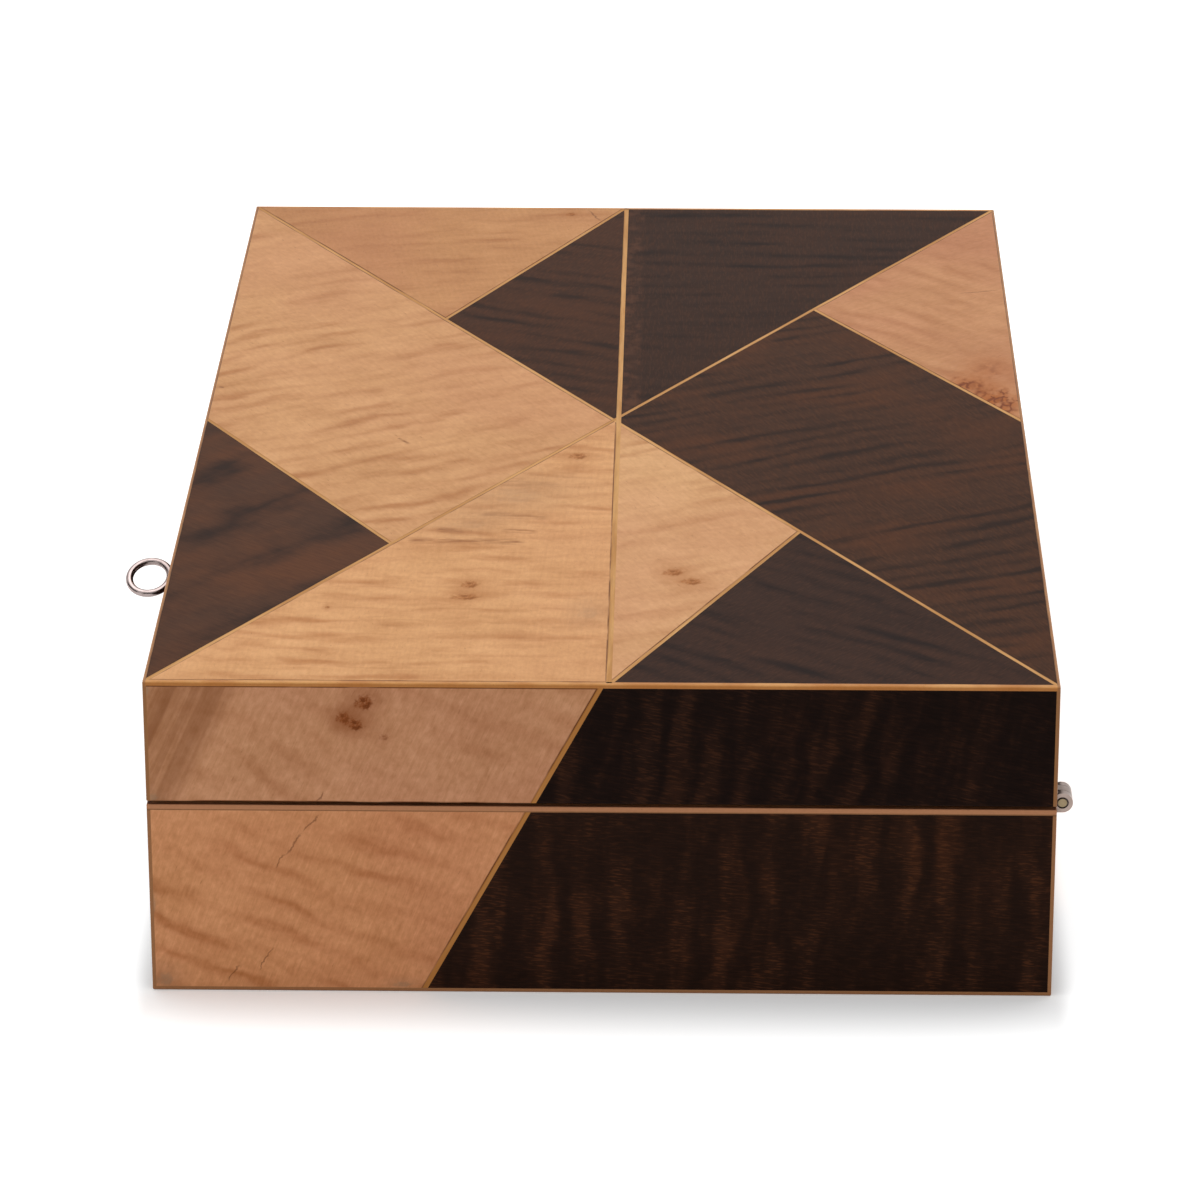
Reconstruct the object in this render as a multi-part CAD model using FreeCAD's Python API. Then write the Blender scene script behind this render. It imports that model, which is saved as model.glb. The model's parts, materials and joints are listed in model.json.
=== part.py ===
import FreeCAD, Part
import math
import os

# A hinged box veneered in pale and dark figured wood, with boxwood lines and edges.
# Millimetres. X runs from the lock side to the hinge side, Y from the near end to
# the far end, Z up. The origin is the middle of the underside.

# Overall sizes
box_width = 280.0
box_length = 460.0
base_height = 63.5
lid_height = 39.8
lid_gap = 1.2

# Boards
wall_thickness = 15.0
veneer_thickness = 0.8
floor_thickness = 6.0
floor_rebate = 7.0
top_board_thickness = 8.0

# Lining boards inside
lining_thickness = 1.5
lining_drop = 3.0
floor_pad_thickness = 2.0
lid_pad_thickness = 1.5

# Boxwood edging along the outer arrises
top_edging_end_width = 2.0
top_edging_side_width = 1.0
top_edging_depth = 1.3
corner_edging_size = 1.2
rim_edging_height = 1.9
rim_edging_depth = 1.3
foot_edging_size = 1.3
arris_radius = 0.5

# Boxwood lines let into the veneer
centre_line_width = 1.7
diagonal_width = 1.4
short_line_width = 1.4
side_line_width = 1.5

# Pattern of the lines. The centre line leans a little. A short line meets a
# diagonal at the given share of the way from the middle to the corner.
centre_line_far_x = 0.7
centre_line_near_x = 2.5
side_short_line_share = 0.5
end_short_line_share = 0.445
end_line_top = 0.6
end_line_run = 56.2
long_line_run = 172.0

# Stop hinges let into the rims of the two ends
hinge_axis_out = 1.9
hinge_setback = 4.1
hinge_width = 9.0
hinge_leaf_length = 32.0
hinge_leaf_thickness = 2.6
hinge_tongue_width = 3.4
hinge_side_play = 0.2
hinge_pin_radius = 1.4
hinge_pin_play = 0.05
hinge_pin_ring = 0.45
hinge_pin_ring_depth = 0.5
hinge_waist_radius = 2.3
hinge_barrel_play = 0.3
hinge_open_angle = 95.0
hinge_stop_angle = 240.0
hinge_stop_play_angle = 0.5
hinge_inward_angle = 180.0
hinge_heel_room_end_angle = 450.0
hinge_screw_from_end = 7.0
hinge_screw_from_wall = 12.0

# Countersunk screws
screw_head_radius = 2.2
screw_head_depth = 1.2
screw_shank_radius = 1.1
screw_length = 10.0
screw_slot_width = 0.6
screw_slot_depth = 0.5

# Box lock in the rim of the lock side
lock_inset = 8.0
lock_plate_length = 50.0
lock_plate_width = 10.0
lock_plate_thickness = 2.0
lock_case_length = 38.0
lock_case_width = 9.0
lock_case_height = 24.0
lock_case_wall = 1.0
lock_ledge_length = 10.0
lock_ledge_thickness = 1.2
lock_screw_from_end = 4.5

# Lock bolt, with its finger and the notch that the key bit works in
bolt_play = 0.3
bolt_throw = 7.0
bolt_tail = 17.0
bolt_nose = 2.5
bolt_above_key = 2.8
bolt_notch_width = 4.2
finger_length = 6.0
finger_width = 2.6
finger_height = 2.8
finger_below_plate = 4.0

# Link plate on the lid rim, with the staple that the finger passes through
link_plate_length = 40.0
link_plate_thickness = 2.0
staple_centre = -11.25
staple_thickness = 2.5
staple_leg = 1.2
staple_foot = 1.4
staple_side_play = 0.5
staple_end_play = 0.6

# Key, at the angle it is left at when the box is unlocked
key_below_rim = 15.6
key_droop_angle = 5.0
key_bow_angle = 29.0
key_bow_centre = 29.1
key_bow_radius = 7.1
key_wire_radius = 1.3
key_shank_radius = 1.9
key_shank_end = 3.0
key_collar_radius = 2.7
key_collar_length = 1.5
key_collar_gap = 1.2
key_pilot_radius = 1.1
key_pilot_length = 1.3
key_pilot_play = 0.08
key_bit_length = 5.5
key_bit_width = 4.0
key_bit_thickness = 1.6
key_bit_play = 0.4

# Keyhole and its inlaid plate
keyhole_radius = 3.0
keyhole_slot_width = 2.6
keyhole_slot_below = 7.0
escutcheon_width = 13.0
escutcheon_height = 21.0
escutcheon_drop = 2.0

# Levels and places that follow from the sizes above
lid_bottom = base_height + lid_gap
box_height = lid_bottom + lid_height
half_width = box_width / 2
half_length = box_length / 2
top_board_top = box_height - veneer_thickness
lid_inner_top = top_board_top - top_board_thickness
inner_half_width = half_width - wall_thickness
inner_half_length = half_length - wall_thickness
hinge_x = half_width + hinge_axis_out
hinge_z = base_height + lid_gap / 2
hinge_near_y = -half_length + hinge_setback
hinge_far_y = hinge_near_y + hinge_width
hinge_mid_y = (hinge_near_y + hinge_far_y) / 2
hinge_barrel_radius = hinge_leaf_thickness + lid_gap / 2
hinge_notch_radius = hinge_barrel_radius + hinge_barrel_play
lock_x = -half_width + lock_inset
lock_plate_under = base_height - lock_plate_thickness
key_z = base_height - key_below_rim
finger_z = lock_plate_under - finger_below_plate
finger_tip = -bolt_nose - finger_length
keyhole_z = key_z - lock_inset / 2 * math.tan(math.radians(key_droop_angle))

vector = FreeCAD.Vector
x_axis = vector(1, 0, 0)
y_axis = vector(0, 1, 0)
z_axis = vector(0, 0, 1)
origin = vector(0, 0, 0)
nodes = {}


def block(x0, x1, y0, y1, z0, z1):
    return Part.makeBox(x1 - x0, y1 - y0, z1 - z0, vector(x0, y0, z0))


def flat_prism(points, z0, z1):
    # An outline in plan, raised from z0 to z1.
    corners = [vector(x, y, z0) for x, y in points]
    outline = Part.makePolygon(corners + corners[:1])
    return Part.Face(outline).extrude(vector(0, 0, z1 - z0))


def upright_prism(points, y0, y1):
    # An outline of x and z, carried from y0 to y1.
    corners = [vector(x, y0, z) for x, z in points]
    outline = Part.makePolygon(corners + corners[:1])
    return Part.Face(outline).extrude(vector(0, y1 - y0, 0))


def rod_along_y(radius, x, z, y0, y1):
    return Part.makeCylinder(radius, y1 - y0, vector(x, y0, z), y_axis)


def joined(shapes):
    return shapes[0].fuse(shapes[1:]).removeSplitter()


def without(shape, tools):
    return shape.cut(tools)


def solid_at(shape, x, y, z):
    # The one solid of a cut sheet that holds the point.
    for solid in shape.Solids:
        if solid.isInside(vector(x, y, z), 0.001, True):
            return solid
    raise ValueError("no piece at %.1f %.1f %.1f" % (x, y, z))


def mirrored_end(shape):
    return shape.mirror(origin, y_axis)


# The four sides. Each is drawn as the near end, outside face at y 0 and seen
# from outside, and then turned into place.
sides = {
    "near_end": {"half": half_width, "out": half_length, "turn": 0, "top": end_line_top,
                 "run": end_line_run, "woods": ("pale", "dark")},
    "far_end": {"half": half_width, "out": half_length, "turn": 180, "top": end_line_top,
                "run": end_line_run, "woods": ("dark", "pale")},
    "lock_side": {"half": half_length, "out": half_width, "turn": -90, "top": 0.0,
                  "run": long_line_run, "woods": ("pale", "dark")},
    "hinge_side": {"half": half_length, "out": half_width, "turn": 90, "top": 0.0,
                   "run": long_line_run, "woods": ("dark", "pale")},
}


def on_side(side, shape):
    moved = shape.copy()
    moved.translate(vector(0, -side["out"], 0))
    moved.rotate(origin, z_axis, side["turn"])
    return moved


def mitred_strip(half, depth0, depth1, z0, z1):
    outline = [
        (-half + depth0, depth0),
        (half - depth0, depth0),
        (half - depth1, depth1),
        (-half + depth1, depth1),
    ]
    return flat_prism(outline, z0, z1)


def side_boards(z0, z1):
    boards = {}
    for name, side in sides.items():
        board = mitred_strip(side["half"], veneer_thickness, wall_thickness, z0, z1)
        boards[name] = on_side(side, board)
    return boards


def edging_ring(envelope, end_width, side_width, z0, z1):
    strips = []
    for name, side in sides.items():
        width = end_width if name.endswith("_end") else side_width
        strip = on_side(side, mitred_strip(side["half"], 0, width, z0, z1))
        strips.append(strip.common(envelope))
    return strips


def edging_posts(envelope, z0, z1):
    posts = []
    for x in (-half_width, half_width - corner_edging_size):
        for y in (-half_length, half_length - corner_edging_size):
            post = block(x, x + corner_edging_size, y, y + corner_edging_size, z0, z1)
            posts.append(post.common(envelope))
    return posts


def rounded_envelope(z0, z1, bottom_too):
    body = block(-half_width, half_width, -half_length, half_length, z0, z1)
    edges = []
    for edge in body.Edges:
        low = edge.BoundBox.ZMax < z0 + arris_radius
        if bottom_too or not low:
            edges.append(edge)
    return body.makeFillet(arris_radius, edges)


def side_line(side):
    # The slanting line runs down the whole height, lid and base together.
    lean = math.hypot(side["run"], box_height) / box_height
    reach = side_line_width / 2 * lean
    top = side["top"]
    foot = top - side["run"]
    outline = [
        (foot - reach, 0),
        (foot + reach, 0),
        (top + reach, box_height),
        (top - reach, box_height),
    ]
    return upright_prism(outline, 0, veneer_thickness)


def side_inlay(prefix, z0, z1):
    # Two veneers and one line on each side, between z0 and z1.
    veneers = {}
    lines = []
    for name, side in sides.items():
        half = side["half"] - corner_edging_size
        sheet = block(-half, half, 0, veneer_thickness, z0, z1)
        line = side_line(side)
        lines.append(on_side(side, line.common(sheet)))
        pieces = sorted(sheet.cut(line).Solids, key=lambda piece: piece.CenterOfMass.x)
        for wood, piece in zip(side["woods"], pieces):
            veneers["%s_%s_%s_veneer" % (prefix, name, wood)] = on_side(side, piece)
    return veneers, lines


def top_line(start, end, width):
    # A straight strip in the top veneer from one plan point to another.
    along = vector(end[0] - start[0], end[1] - start[1], 0).normalize()
    across = vector(-along.y, along.x, 0) * (width / 2)
    outline = [
        (start[0] + across.x, start[1] + across.y),
        (start[0] - across.x, start[1] - across.y),
        (end[0] - across.x, end[1] - across.y),
        (end[0] + across.x, end[1] + across.y),
    ]
    return flat_prism(outline, top_board_top, box_height)


def top_inlay(edging):
    # The sheet reaches the narrower edging, and the wider strips are cut out of it.
    inset = min(top_edging_end_width, top_edging_side_width)
    half_x = half_width - inset
    half_y = half_length - inset
    sheet = block(-half_x, half_x, -half_y, half_y, top_board_top, box_height).cut(edging)

    far_mid = (centre_line_far_x, half_length)
    near_mid = (centre_line_near_x, -half_length)
    side_meet = (half_width * side_short_line_share, half_length * side_short_line_share)
    end_meet = (half_width * end_short_line_share, half_length * end_short_line_share)

    centre = top_line(near_mid, far_mid, centre_line_width)
    rising = top_line((-half_width, -half_length), (half_width, half_length), diagonal_width)
    falling = top_line((-half_width, half_length), (half_width, -half_length), diagonal_width)
    shorts = [
        top_line((-half_width, 0), (-side_meet[0], -side_meet[1]), short_line_width),
        top_line((half_width, 0), side_meet, short_line_width),
        top_line(far_mid, (-end_meet[0], end_meet[1]), short_line_width),
        top_line(near_mid, (end_meet[0], -end_meet[1]), short_line_width),
    ]
    # The centre line is unbroken, and each later line butts against those before it.
    laid = []
    lines = []
    for strip in [centre, rising, falling] + shorts:
        piece = strip.common(sheet)
        if laid:
            piece = piece.cut(laid)
        laid.append(strip)
        lines.extend(piece.Solids)

    field = sheet.cut(laid)
    middle = top_board_top + veneer_thickness / 2
    corner_x = (half_width + half_width + side_meet[0]) / 3
    corner_y = (half_length + side_meet[1]) / 3
    end_x = (half_width + end_meet[0]) / 3
    end_y = (2 * half_length + end_meet[1]) / 3
    wide_x = half_width / 3
    wide_y = 2 * half_length / 3
    slim_x = end_meet[0] / 3
    slim_y = (half_length + end_meet[1]) / 3
    broad_x = 0.6 * half_width
    broad_y = 0.1 * half_length
    places = {
        "top_lock_side_pale_veneer": (-broad_x, broad_y),
        "top_lock_corner_dark_veneer": (-corner_x, -corner_y),
        "top_near_left_pale_veneer": (-wide_x, -wide_y),
        "top_near_middle_pale_veneer": (slim_x, -slim_y),
        "top_near_right_dark_veneer": (end_x, -end_y),
        "top_hinge_side_dark_veneer": (broad_x, -broad_y),
        "top_hinge_corner_pale_veneer": (corner_x, corner_y),
        "top_far_right_dark_veneer": (wide_x, wide_y),
        "top_far_middle_dark_veneer": (-slim_x, slim_y),
        "top_far_left_pale_veneer": (-end_x, end_y),
    }
    veneers = {}
    for name, (x, y) in places.items():
        veneers[name] = solid_at(field, x, y, middle)
    return veneers, lines


def countersunk_screw(x, y, z, downward):
    sign = -1 if downward else 1
    along = vector(0, 0, sign)
    head = Part.makeCone(screw_head_radius, screw_shank_radius, screw_head_depth, vector(x, y, z), along)
    shank = Part.makeCylinder(screw_shank_radius, screw_length, vector(x, y, z), along)
    return head.fuse(shank).removeSplitter()


def slotted(screw, x, y, z, downward):
    low = z - screw_slot_depth if downward else z
    slot = block(
        x - screw_head_radius,
        x + screw_head_radius,
        y - screw_slot_width / 2,
        y + screw_slot_width / 2,
        low,
        low + screw_slot_depth,
    )
    return screw.cut(slot)


def hinge_wedge(from_angle, to_angle, y0, y1):
    # A sector round the hinge axis, angles from +X towards +Z.
    reach = 3 * hinge_barrel_radius
    points = [(hinge_x, hinge_z)]
    steps = 6
    for step in range(steps + 1):
        angle = math.radians(from_angle + (to_angle - from_angle) * step / steps)
        points.append((hinge_x + reach * math.cos(angle), hinge_z + reach * math.sin(angle)))
    return upright_prism(points, y0, y1)


def hinge_parts():
    # The near hinge: base leaf with two ears, lid leaf with one tongue, and the pin.
    ear_width = (hinge_width - hinge_tongue_width) / 2 - hinge_side_play
    gap_near = hinge_near_y + ear_width
    gap_far = hinge_far_y - ear_width
    leaf_start = half_width - hinge_leaf_length
    barrel = rod_along_y(hinge_barrel_radius, hinge_x, hinge_z, hinge_near_y, hinge_far_y)
    leaf_under = base_height - hinge_leaf_thickness
    base_plate = block(leaf_start, hinge_x, hinge_near_y, hinge_far_y, leaf_under, base_height)
    waist_room = hinge_waist_radius + hinge_barrel_play
    slot = rod_along_y(waist_room, hinge_x, hinge_z, gap_near, gap_far)
    heel_room = hinge_wedge(hinge_stop_angle, hinge_heel_room_end_angle, gap_near, gap_far)
    lid_side = block(
        hinge_x - hinge_barrel_radius,
        hinge_x,
        gap_near,
        gap_far,
        base_height,
        hinge_z + hinge_barrel_radius,
    )
    bore = rod_along_y(hinge_pin_radius, hinge_x, hinge_z, hinge_near_y, hinge_far_y)
    ring_radius = hinge_pin_radius + hinge_pin_ring
    ring_near = hinge_near_y + hinge_pin_ring_depth
    ring_far = hinge_far_y - hinge_pin_ring_depth
    rings = [
        rod_along_y(ring_radius, hinge_x, hinge_z, hinge_near_y, ring_near),
        rod_along_y(ring_radius, hinge_x, hinge_z, ring_far, hinge_far_y),
    ]
    base_leaf = joined([base_plate, barrel])
    base_leaf = without(base_leaf, [slot, heel_room, lid_side, bore] + rings)

    tongue_near = hinge_mid_y - hinge_tongue_width / 2
    tongue_far = hinge_mid_y + hinge_tongue_width / 2
    heel_angle = hinge_stop_angle + hinge_open_angle + hinge_stop_play_angle
    round_part = rod_along_y(hinge_barrel_radius, hinge_x, hinge_z, tongue_near, tongue_far)
    heel_cut = hinge_wedge(hinge_inward_angle, heel_angle, tongue_near, tongue_far)
    round_part = without(round_part, [heel_cut])
    waist = rod_along_y(hinge_waist_radius, hinge_x, hinge_z, tongue_near, tongue_far)
    leaf_top = lid_bottom + hinge_leaf_thickness
    lid_plate = block(leaf_start, hinge_x, hinge_near_y, hinge_far_y, lid_bottom, leaf_top)
    notch_near = hinge_near_y - hinge_barrel_play
    notch_far = hinge_far_y + hinge_barrel_play
    ear_room = [
        rod_along_y(hinge_notch_radius, hinge_x, hinge_z, notch_near, tongue_near),
        rod_along_y(hinge_notch_radius, hinge_x, hinge_z, tongue_far, notch_far),
    ]
    running_bore_radius = hinge_pin_radius + hinge_pin_play
    running_bore = rod_along_y(running_bore_radius, hinge_x, hinge_z, tongue_near, tongue_far)
    lid_leaf = joined([without(lid_plate, ear_room), round_part, waist])
    lid_leaf = without(lid_leaf, [running_bore])

    notch = rod_along_y(hinge_notch_radius, hinge_x, hinge_z, notch_near, notch_far)
    return base_leaf, lid_leaf, bore, notch


def keyhole(x0, x1):
    round_hole = Part.makeCylinder(keyhole_radius, x1 - x0, vector(x0, 0, keyhole_z), x_axis)
    half = keyhole_slot_width / 2
    slot = block(x0, x1, -half, half, keyhole_z - keyhole_slot_below, keyhole_z)
    return round_hole.fuse(slot).removeSplitter()


def placed_key(shape):
    # From the key's own lines, shank along x and bit up, to its place in the lock.
    moved = shape.copy()
    moved.rotate(origin, x_axis, key_bow_angle - 90)
    moved.rotate(origin, y_axis, -key_droop_angle)
    moved.translate(vector(lock_x, 0, key_z))
    return moved


def key_parts():
    shank_start = -key_bow_centre + key_bow_radius
    shank = Part.makeCylinder(key_shank_radius, key_shank_end - shank_start, vector(shank_start, 0, 0), x_axis)
    pilot = Part.makeCylinder(key_pilot_radius, key_pilot_length, vector(key_shank_end, 0, 0), x_axis)
    collar_start = -lock_inset - key_collar_gap - key_collar_length
    collar = Part.makeCylinder(key_collar_radius, key_collar_length, vector(collar_start, 0, 0), x_axis)
    bow_middle = vector(-key_bow_centre, 0, 0)
    bow = Part.makeTorus(key_bow_radius, key_wire_radius, bow_middle, y_axis)
    bit = block(
        -key_bit_width / 2,
        key_bit_width / 2,
        -key_bit_thickness / 2,
        key_bit_thickness / 2,
        0,
        key_bit_length,
    )
    key = joined([shank, pilot, collar, bow, bit])
    pilot_hole_radius = key_pilot_radius + key_pilot_play
    pilot_hole = Part.makeCylinder(pilot_hole_radius, lock_case_width, origin, x_axis)
    return placed_key(key), placed_key(pilot_hole)


def lock_parts(pilot_hole):
    half_plate = lock_plate_width / 2
    half_case = lock_case_width / 2
    half_room = half_case - lock_case_wall
    end_room = lock_case_length / 2 - lock_case_wall
    staple_half_width = finger_width / 2 + staple_side_play + staple_leg
    staple_near = staple_centre - staple_thickness / 2
    staple_far = staple_centre + staple_thickness / 2

    plate = block(
        lock_x - half_plate,
        lock_x + half_plate,
        -lock_plate_length / 2,
        lock_plate_length / 2,
        lock_plate_under,
        base_height,
    )
    plate_slot = block(
        lock_x - staple_half_width - staple_side_play,
        lock_x + staple_half_width + staple_side_play,
        staple_near - staple_side_play,
        staple_far + staple_side_play,
        lock_plate_under,
        base_height,
    )
    lock_plate = without(plate, [plate_slot])

    bolt_low = key_z + bolt_above_key
    case_low = lock_plate_under - lock_case_height
    case_block = block(
        lock_x - half_case,
        lock_x + half_case,
        -lock_case_length / 2,
        lock_case_length / 2,
        case_low,
        lock_plate_under,
    )
    room = block(
        lock_x - half_room,
        lock_x + half_room,
        -end_room,
        end_room,
        case_low + lock_case_wall,
        lock_plate_under,
    )
    ledge_top = bolt_low - bolt_play
    ledges = []
    for y in (-end_room, end_room - lock_ledge_length):
        ledges.append(
            block(
                lock_x - half_room,
                lock_x + half_room,
                y,
                y + lock_ledge_length,
                ledge_top - lock_ledge_thickness,
                ledge_top,
            )
        )
    case_front = keyhole(lock_x - half_case, lock_x - half_room)
    case = without(case_block, [room])
    case = joined([case] + ledges)
    case = without(case, [case_front, pilot_hole])

    bolt_half = half_room - bolt_play
    body = block(
        lock_x - bolt_half,
        lock_x + bolt_half,
        -bolt_nose,
        bolt_tail,
        bolt_low,
        lock_plate_under - bolt_play,
    )
    finger = block(
        lock_x - finger_width / 2,
        lock_x + finger_width / 2,
        finger_tip,
        -bolt_nose,
        finger_z - finger_height / 2,
        finger_z + finger_height / 2,
    )
    notch = block(
        lock_x - bolt_half,
        lock_x + bolt_half,
        bolt_throw / 2 - bolt_notch_width / 2,
        bolt_throw / 2 + bolt_notch_width / 2,
        bolt_low,
        key_z + key_bit_length + key_bit_play,
    )
    bolt = without(joined([body, finger]), [notch])

    link_top = lid_bottom + link_plate_thickness
    link_plate = block(
        lock_x - half_plate,
        lock_x + half_plate,
        -link_plate_length / 2,
        link_plate_length / 2,
        lid_bottom,
        link_top,
    )
    eye_half_width = finger_width / 2 + staple_side_play
    eye_half_height = finger_height / 2 + staple_end_play
    staple = block(
        lock_x - staple_half_width,
        lock_x + staple_half_width,
        staple_near,
        staple_far,
        finger_z - eye_half_height - staple_foot,
        lid_bottom,
    )
    eye = block(
        lock_x - eye_half_width,
        lock_x + eye_half_width,
        staple_near,
        staple_far,
        finger_z - eye_half_height,
        finger_z + eye_half_height,
    )
    staple = without(staple, [eye])
    mortise = joined([case_block, case_front, plate])
    return lock_plate, case, bolt, link_plate, staple, mortise


def escutcheon_parts():
    # An upright oval plate, as thick as the veneer it is let into.
    face = -half_width
    half = escutcheon_width / 2
    rise = escutcheon_height / 2 - half
    middle = keyhole_z - escutcheon_drop
    ends = []
    for z in (middle - rise, middle + rise):
        ends.append(Part.makeCylinder(half, veneer_thickness, vector(face, 0, z), x_axis))
    web = block(face, face + veneer_thickness, -half, half, middle - rise, middle + rise)
    oval = joined(ends + [web])
    return without(oval, [keyhole(face, face + veneer_thickness)]), oval


def lining_boards(z0, z1):
    boards = []
    end_half = inner_half_width - lining_thickness
    for sign in (-1, 1):
        x = sorted((sign * inner_half_width, sign * end_half))
        boards.append(block(x[0], x[1], -inner_half_length, inner_half_length, z0, z1))
    for sign in (-1, 1):
        y = sorted((sign * inner_half_length, sign * (inner_half_length - lining_thickness)))
        boards.append(block(-end_half, end_half, y[0], y[1], z0, z1))
    return boards


def pad(z0, z1):
    half_x = inner_half_width - lining_thickness
    half_y = inner_half_length - lining_thickness
    return block(-half_x, half_x, -half_y, half_y, z0, z1)


def screw_places():
    hinge_spots = []
    for sign in (1, -1):
        for x in (half_width - hinge_leaf_length + hinge_screw_from_end, half_width - hinge_screw_from_wall):
            hinge_spots.append((x, sign * hinge_mid_y))
    lock_y = lock_plate_length / 2 - lock_screw_from_end
    link_y = link_plate_length / 2 - lock_screw_from_end
    base_spots = hinge_spots + [(lock_x, -lock_y), (lock_x, lock_y)]
    lid_spots = hinge_spots + [(lock_x, -link_y), (lock_x, link_y)]
    return base_spots, lid_spots


# Metalwork first, because the boards are cut to it
base_leaf, lid_leaf, hinge_pin, hinge_notch = hinge_parts()
key, pilot_hole = key_parts()
lock_plate, lock_case, lock_bolt, link_plate, link_staple, lock_mortise = lock_parts(pilot_hole)
escutcheon, escutcheon_seat = escutcheon_parts()
base_spots, lid_spots = screw_places()
base_blanks = [countersunk_screw(x, y, base_height, True) for x, y in base_spots]
lid_blanks = [countersunk_screw(x, y, lid_bottom, False) for x, y in lid_spots]
base_leaves = [base_leaf, mirrored_end(base_leaf)]
lid_leaves = [lid_leaf, mirrored_end(lid_leaf)]
notches = [hinge_notch, mirrored_end(hinge_notch)]
wall_keyhole = keyhole(-half_width, lock_x - lock_case_width / 2)

for place, base_one, lid_one in zip(("near", "far"), base_leaves, lid_leaves):
    nodes["%s_hinge_base_leaf" % place] = without(base_one, base_blanks)
    nodes["%s_hinge_lid_leaf" % place] = without(lid_one, lid_blanks)
nodes["hinge_pins"] = Part.makeCompound([hinge_pin, mirrored_end(hinge_pin)])
nodes["lock_plate"] = without(lock_plate, base_blanks)
nodes["lock_case"] = lock_case
nodes["lock_bolt"] = lock_bolt
nodes["link_plate"] = without(link_plate, lid_blanks)
nodes["link_staple"] = link_staple
nodes["keyhole_escutcheon"] = escutcheon
nodes["key"] = key
base_screws = []
for blank, (x, y) in zip(base_blanks, base_spots):
    base_screws.append(slotted(blank, x, y, base_height, True))
lid_screws = []
for blank, (x, y) in zip(lid_blanks, lid_spots):
    lid_screws.append(slotted(blank, x, y, lid_bottom, False))
nodes["base_screws"] = Part.makeCompound(base_screws)
nodes["lid_screws"] = Part.makeCompound(lid_screws)

# Edging
lid_envelope = rounded_envelope(lid_bottom, box_height, False)
base_envelope = rounded_envelope(0, base_height, True)
top_edging_low = box_height - top_edging_depth
rim_edging_low = base_height - rim_edging_height
lid_edging = edging_ring(
    lid_envelope, top_edging_end_width, top_edging_side_width, top_edging_low, box_height
)
lid_edging += edging_posts(lid_envelope, lid_bottom, top_edging_low)
rim_edging = edging_ring(base_envelope, rim_edging_depth, rim_edging_depth, rim_edging_low, base_height)
foot_edging = edging_ring(base_envelope, foot_edging_size, foot_edging_size, 0, foot_edging_size)
base_posts = edging_posts(base_envelope, foot_edging_size, rim_edging_low)
rim_edging = [without(strip, notches + base_leaves) for strip in rim_edging]
base_edging = rim_edging + foot_edging + base_posts
nodes["lid_edging"] = Part.makeCompound(lid_edging)
nodes["base_edging"] = Part.makeCompound(base_edging)

# Veneer and lines
base_metal = base_leaves + base_blanks + [lock_mortise, wall_keyhole]
lid_metal = lid_leaves + lid_blanks + [link_plate]
top_veneers, top_lines = top_inlay(lid_edging)
lid_veneers, lid_lines = side_inlay("lid", lid_bottom, top_edging_low)
base_veneers, base_lines = side_inlay("base", foot_edging_size, rim_edging_low)
for name, piece in top_veneers.items():
    nodes[name] = piece
for name, piece in lid_veneers.items():
    nodes[name] = without(piece, notches + lid_leaves)
for name, piece in base_veneers.items():
    nodes[name] = without(piece, notches + base_leaves + [escutcheon_seat])
nodes["top_lines"] = Part.makeCompound(top_lines)
nodes["lid_side_lines"] = Part.makeCompound(lid_lines)
nodes["base_side_lines"] = Part.makeCompound(base_lines)

# Boards
floor_x = inner_half_width + floor_rebate
floor_y = inner_half_length + floor_rebate
base_floor = block(-floor_x, floor_x, -floor_y, floor_y, 0, floor_thickness)
nodes["base_floor"] = base_floor
for name, board in side_boards(0, base_height).items():
    tools = [base_floor] + base_edging + notches + base_metal
    nodes["base_%s_wall" % name] = without(board, tools)
for name, board in side_boards(lid_bottom, lid_inner_top).items():
    nodes["lid_%s_wall" % name] = without(board, lid_edging + notches + lid_metal)
board_x = half_width - veneer_thickness
board_y = half_length - veneer_thickness
top_board = block(-board_x, board_x, -board_y, board_y, lid_inner_top, top_board_top)
nodes["lid_top_board"] = without(top_board, lid_edging)

# Lining
nodes["base_wall_lining"] = Part.makeCompound(lining_boards(floor_thickness, base_height - lining_drop))
nodes["base_floor_pad"] = pad(floor_thickness, floor_thickness + floor_pad_thickness)
nodes["lid_wall_lining"] = Part.makeCompound(lining_boards(lid_bottom + lining_drop, lid_inner_top))
nodes["lid_top_pad"] = pad(lid_inner_top - lid_pad_thickness, lid_inner_top)

os.makedirs("parts", exist_ok=True)
for name, shape in nodes.items():
    shape.exportStep("parts/%s.step" % name)
    print(name, len(shape.Solids), round(shape.Volume, 2), shape.isValid())
print(len(nodes), "nodes")
print("hinge axis", round(hinge_x, 3), round(hinge_z, 3), "key axis", lock_x, round(key_z, 3))
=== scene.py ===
import bpy
import json
import math
from mathutils import Matrix, Vector


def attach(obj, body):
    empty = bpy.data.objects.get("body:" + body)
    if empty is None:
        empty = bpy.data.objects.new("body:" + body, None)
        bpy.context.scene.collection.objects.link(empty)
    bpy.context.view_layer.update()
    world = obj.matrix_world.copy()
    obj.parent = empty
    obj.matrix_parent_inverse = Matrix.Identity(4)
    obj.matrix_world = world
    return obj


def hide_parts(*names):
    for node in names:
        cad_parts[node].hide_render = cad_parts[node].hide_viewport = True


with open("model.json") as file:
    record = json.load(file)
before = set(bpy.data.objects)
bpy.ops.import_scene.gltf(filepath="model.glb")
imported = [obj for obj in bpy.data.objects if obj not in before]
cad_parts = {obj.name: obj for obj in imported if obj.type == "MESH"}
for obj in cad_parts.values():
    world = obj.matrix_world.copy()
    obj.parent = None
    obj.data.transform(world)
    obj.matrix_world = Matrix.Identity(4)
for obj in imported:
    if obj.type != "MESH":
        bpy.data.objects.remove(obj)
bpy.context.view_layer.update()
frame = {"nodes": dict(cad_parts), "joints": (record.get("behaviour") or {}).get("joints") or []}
nodes = frame["nodes"]
perMetre = 1000.0


# the box's own sizes in millimetres, read off the frame

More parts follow.
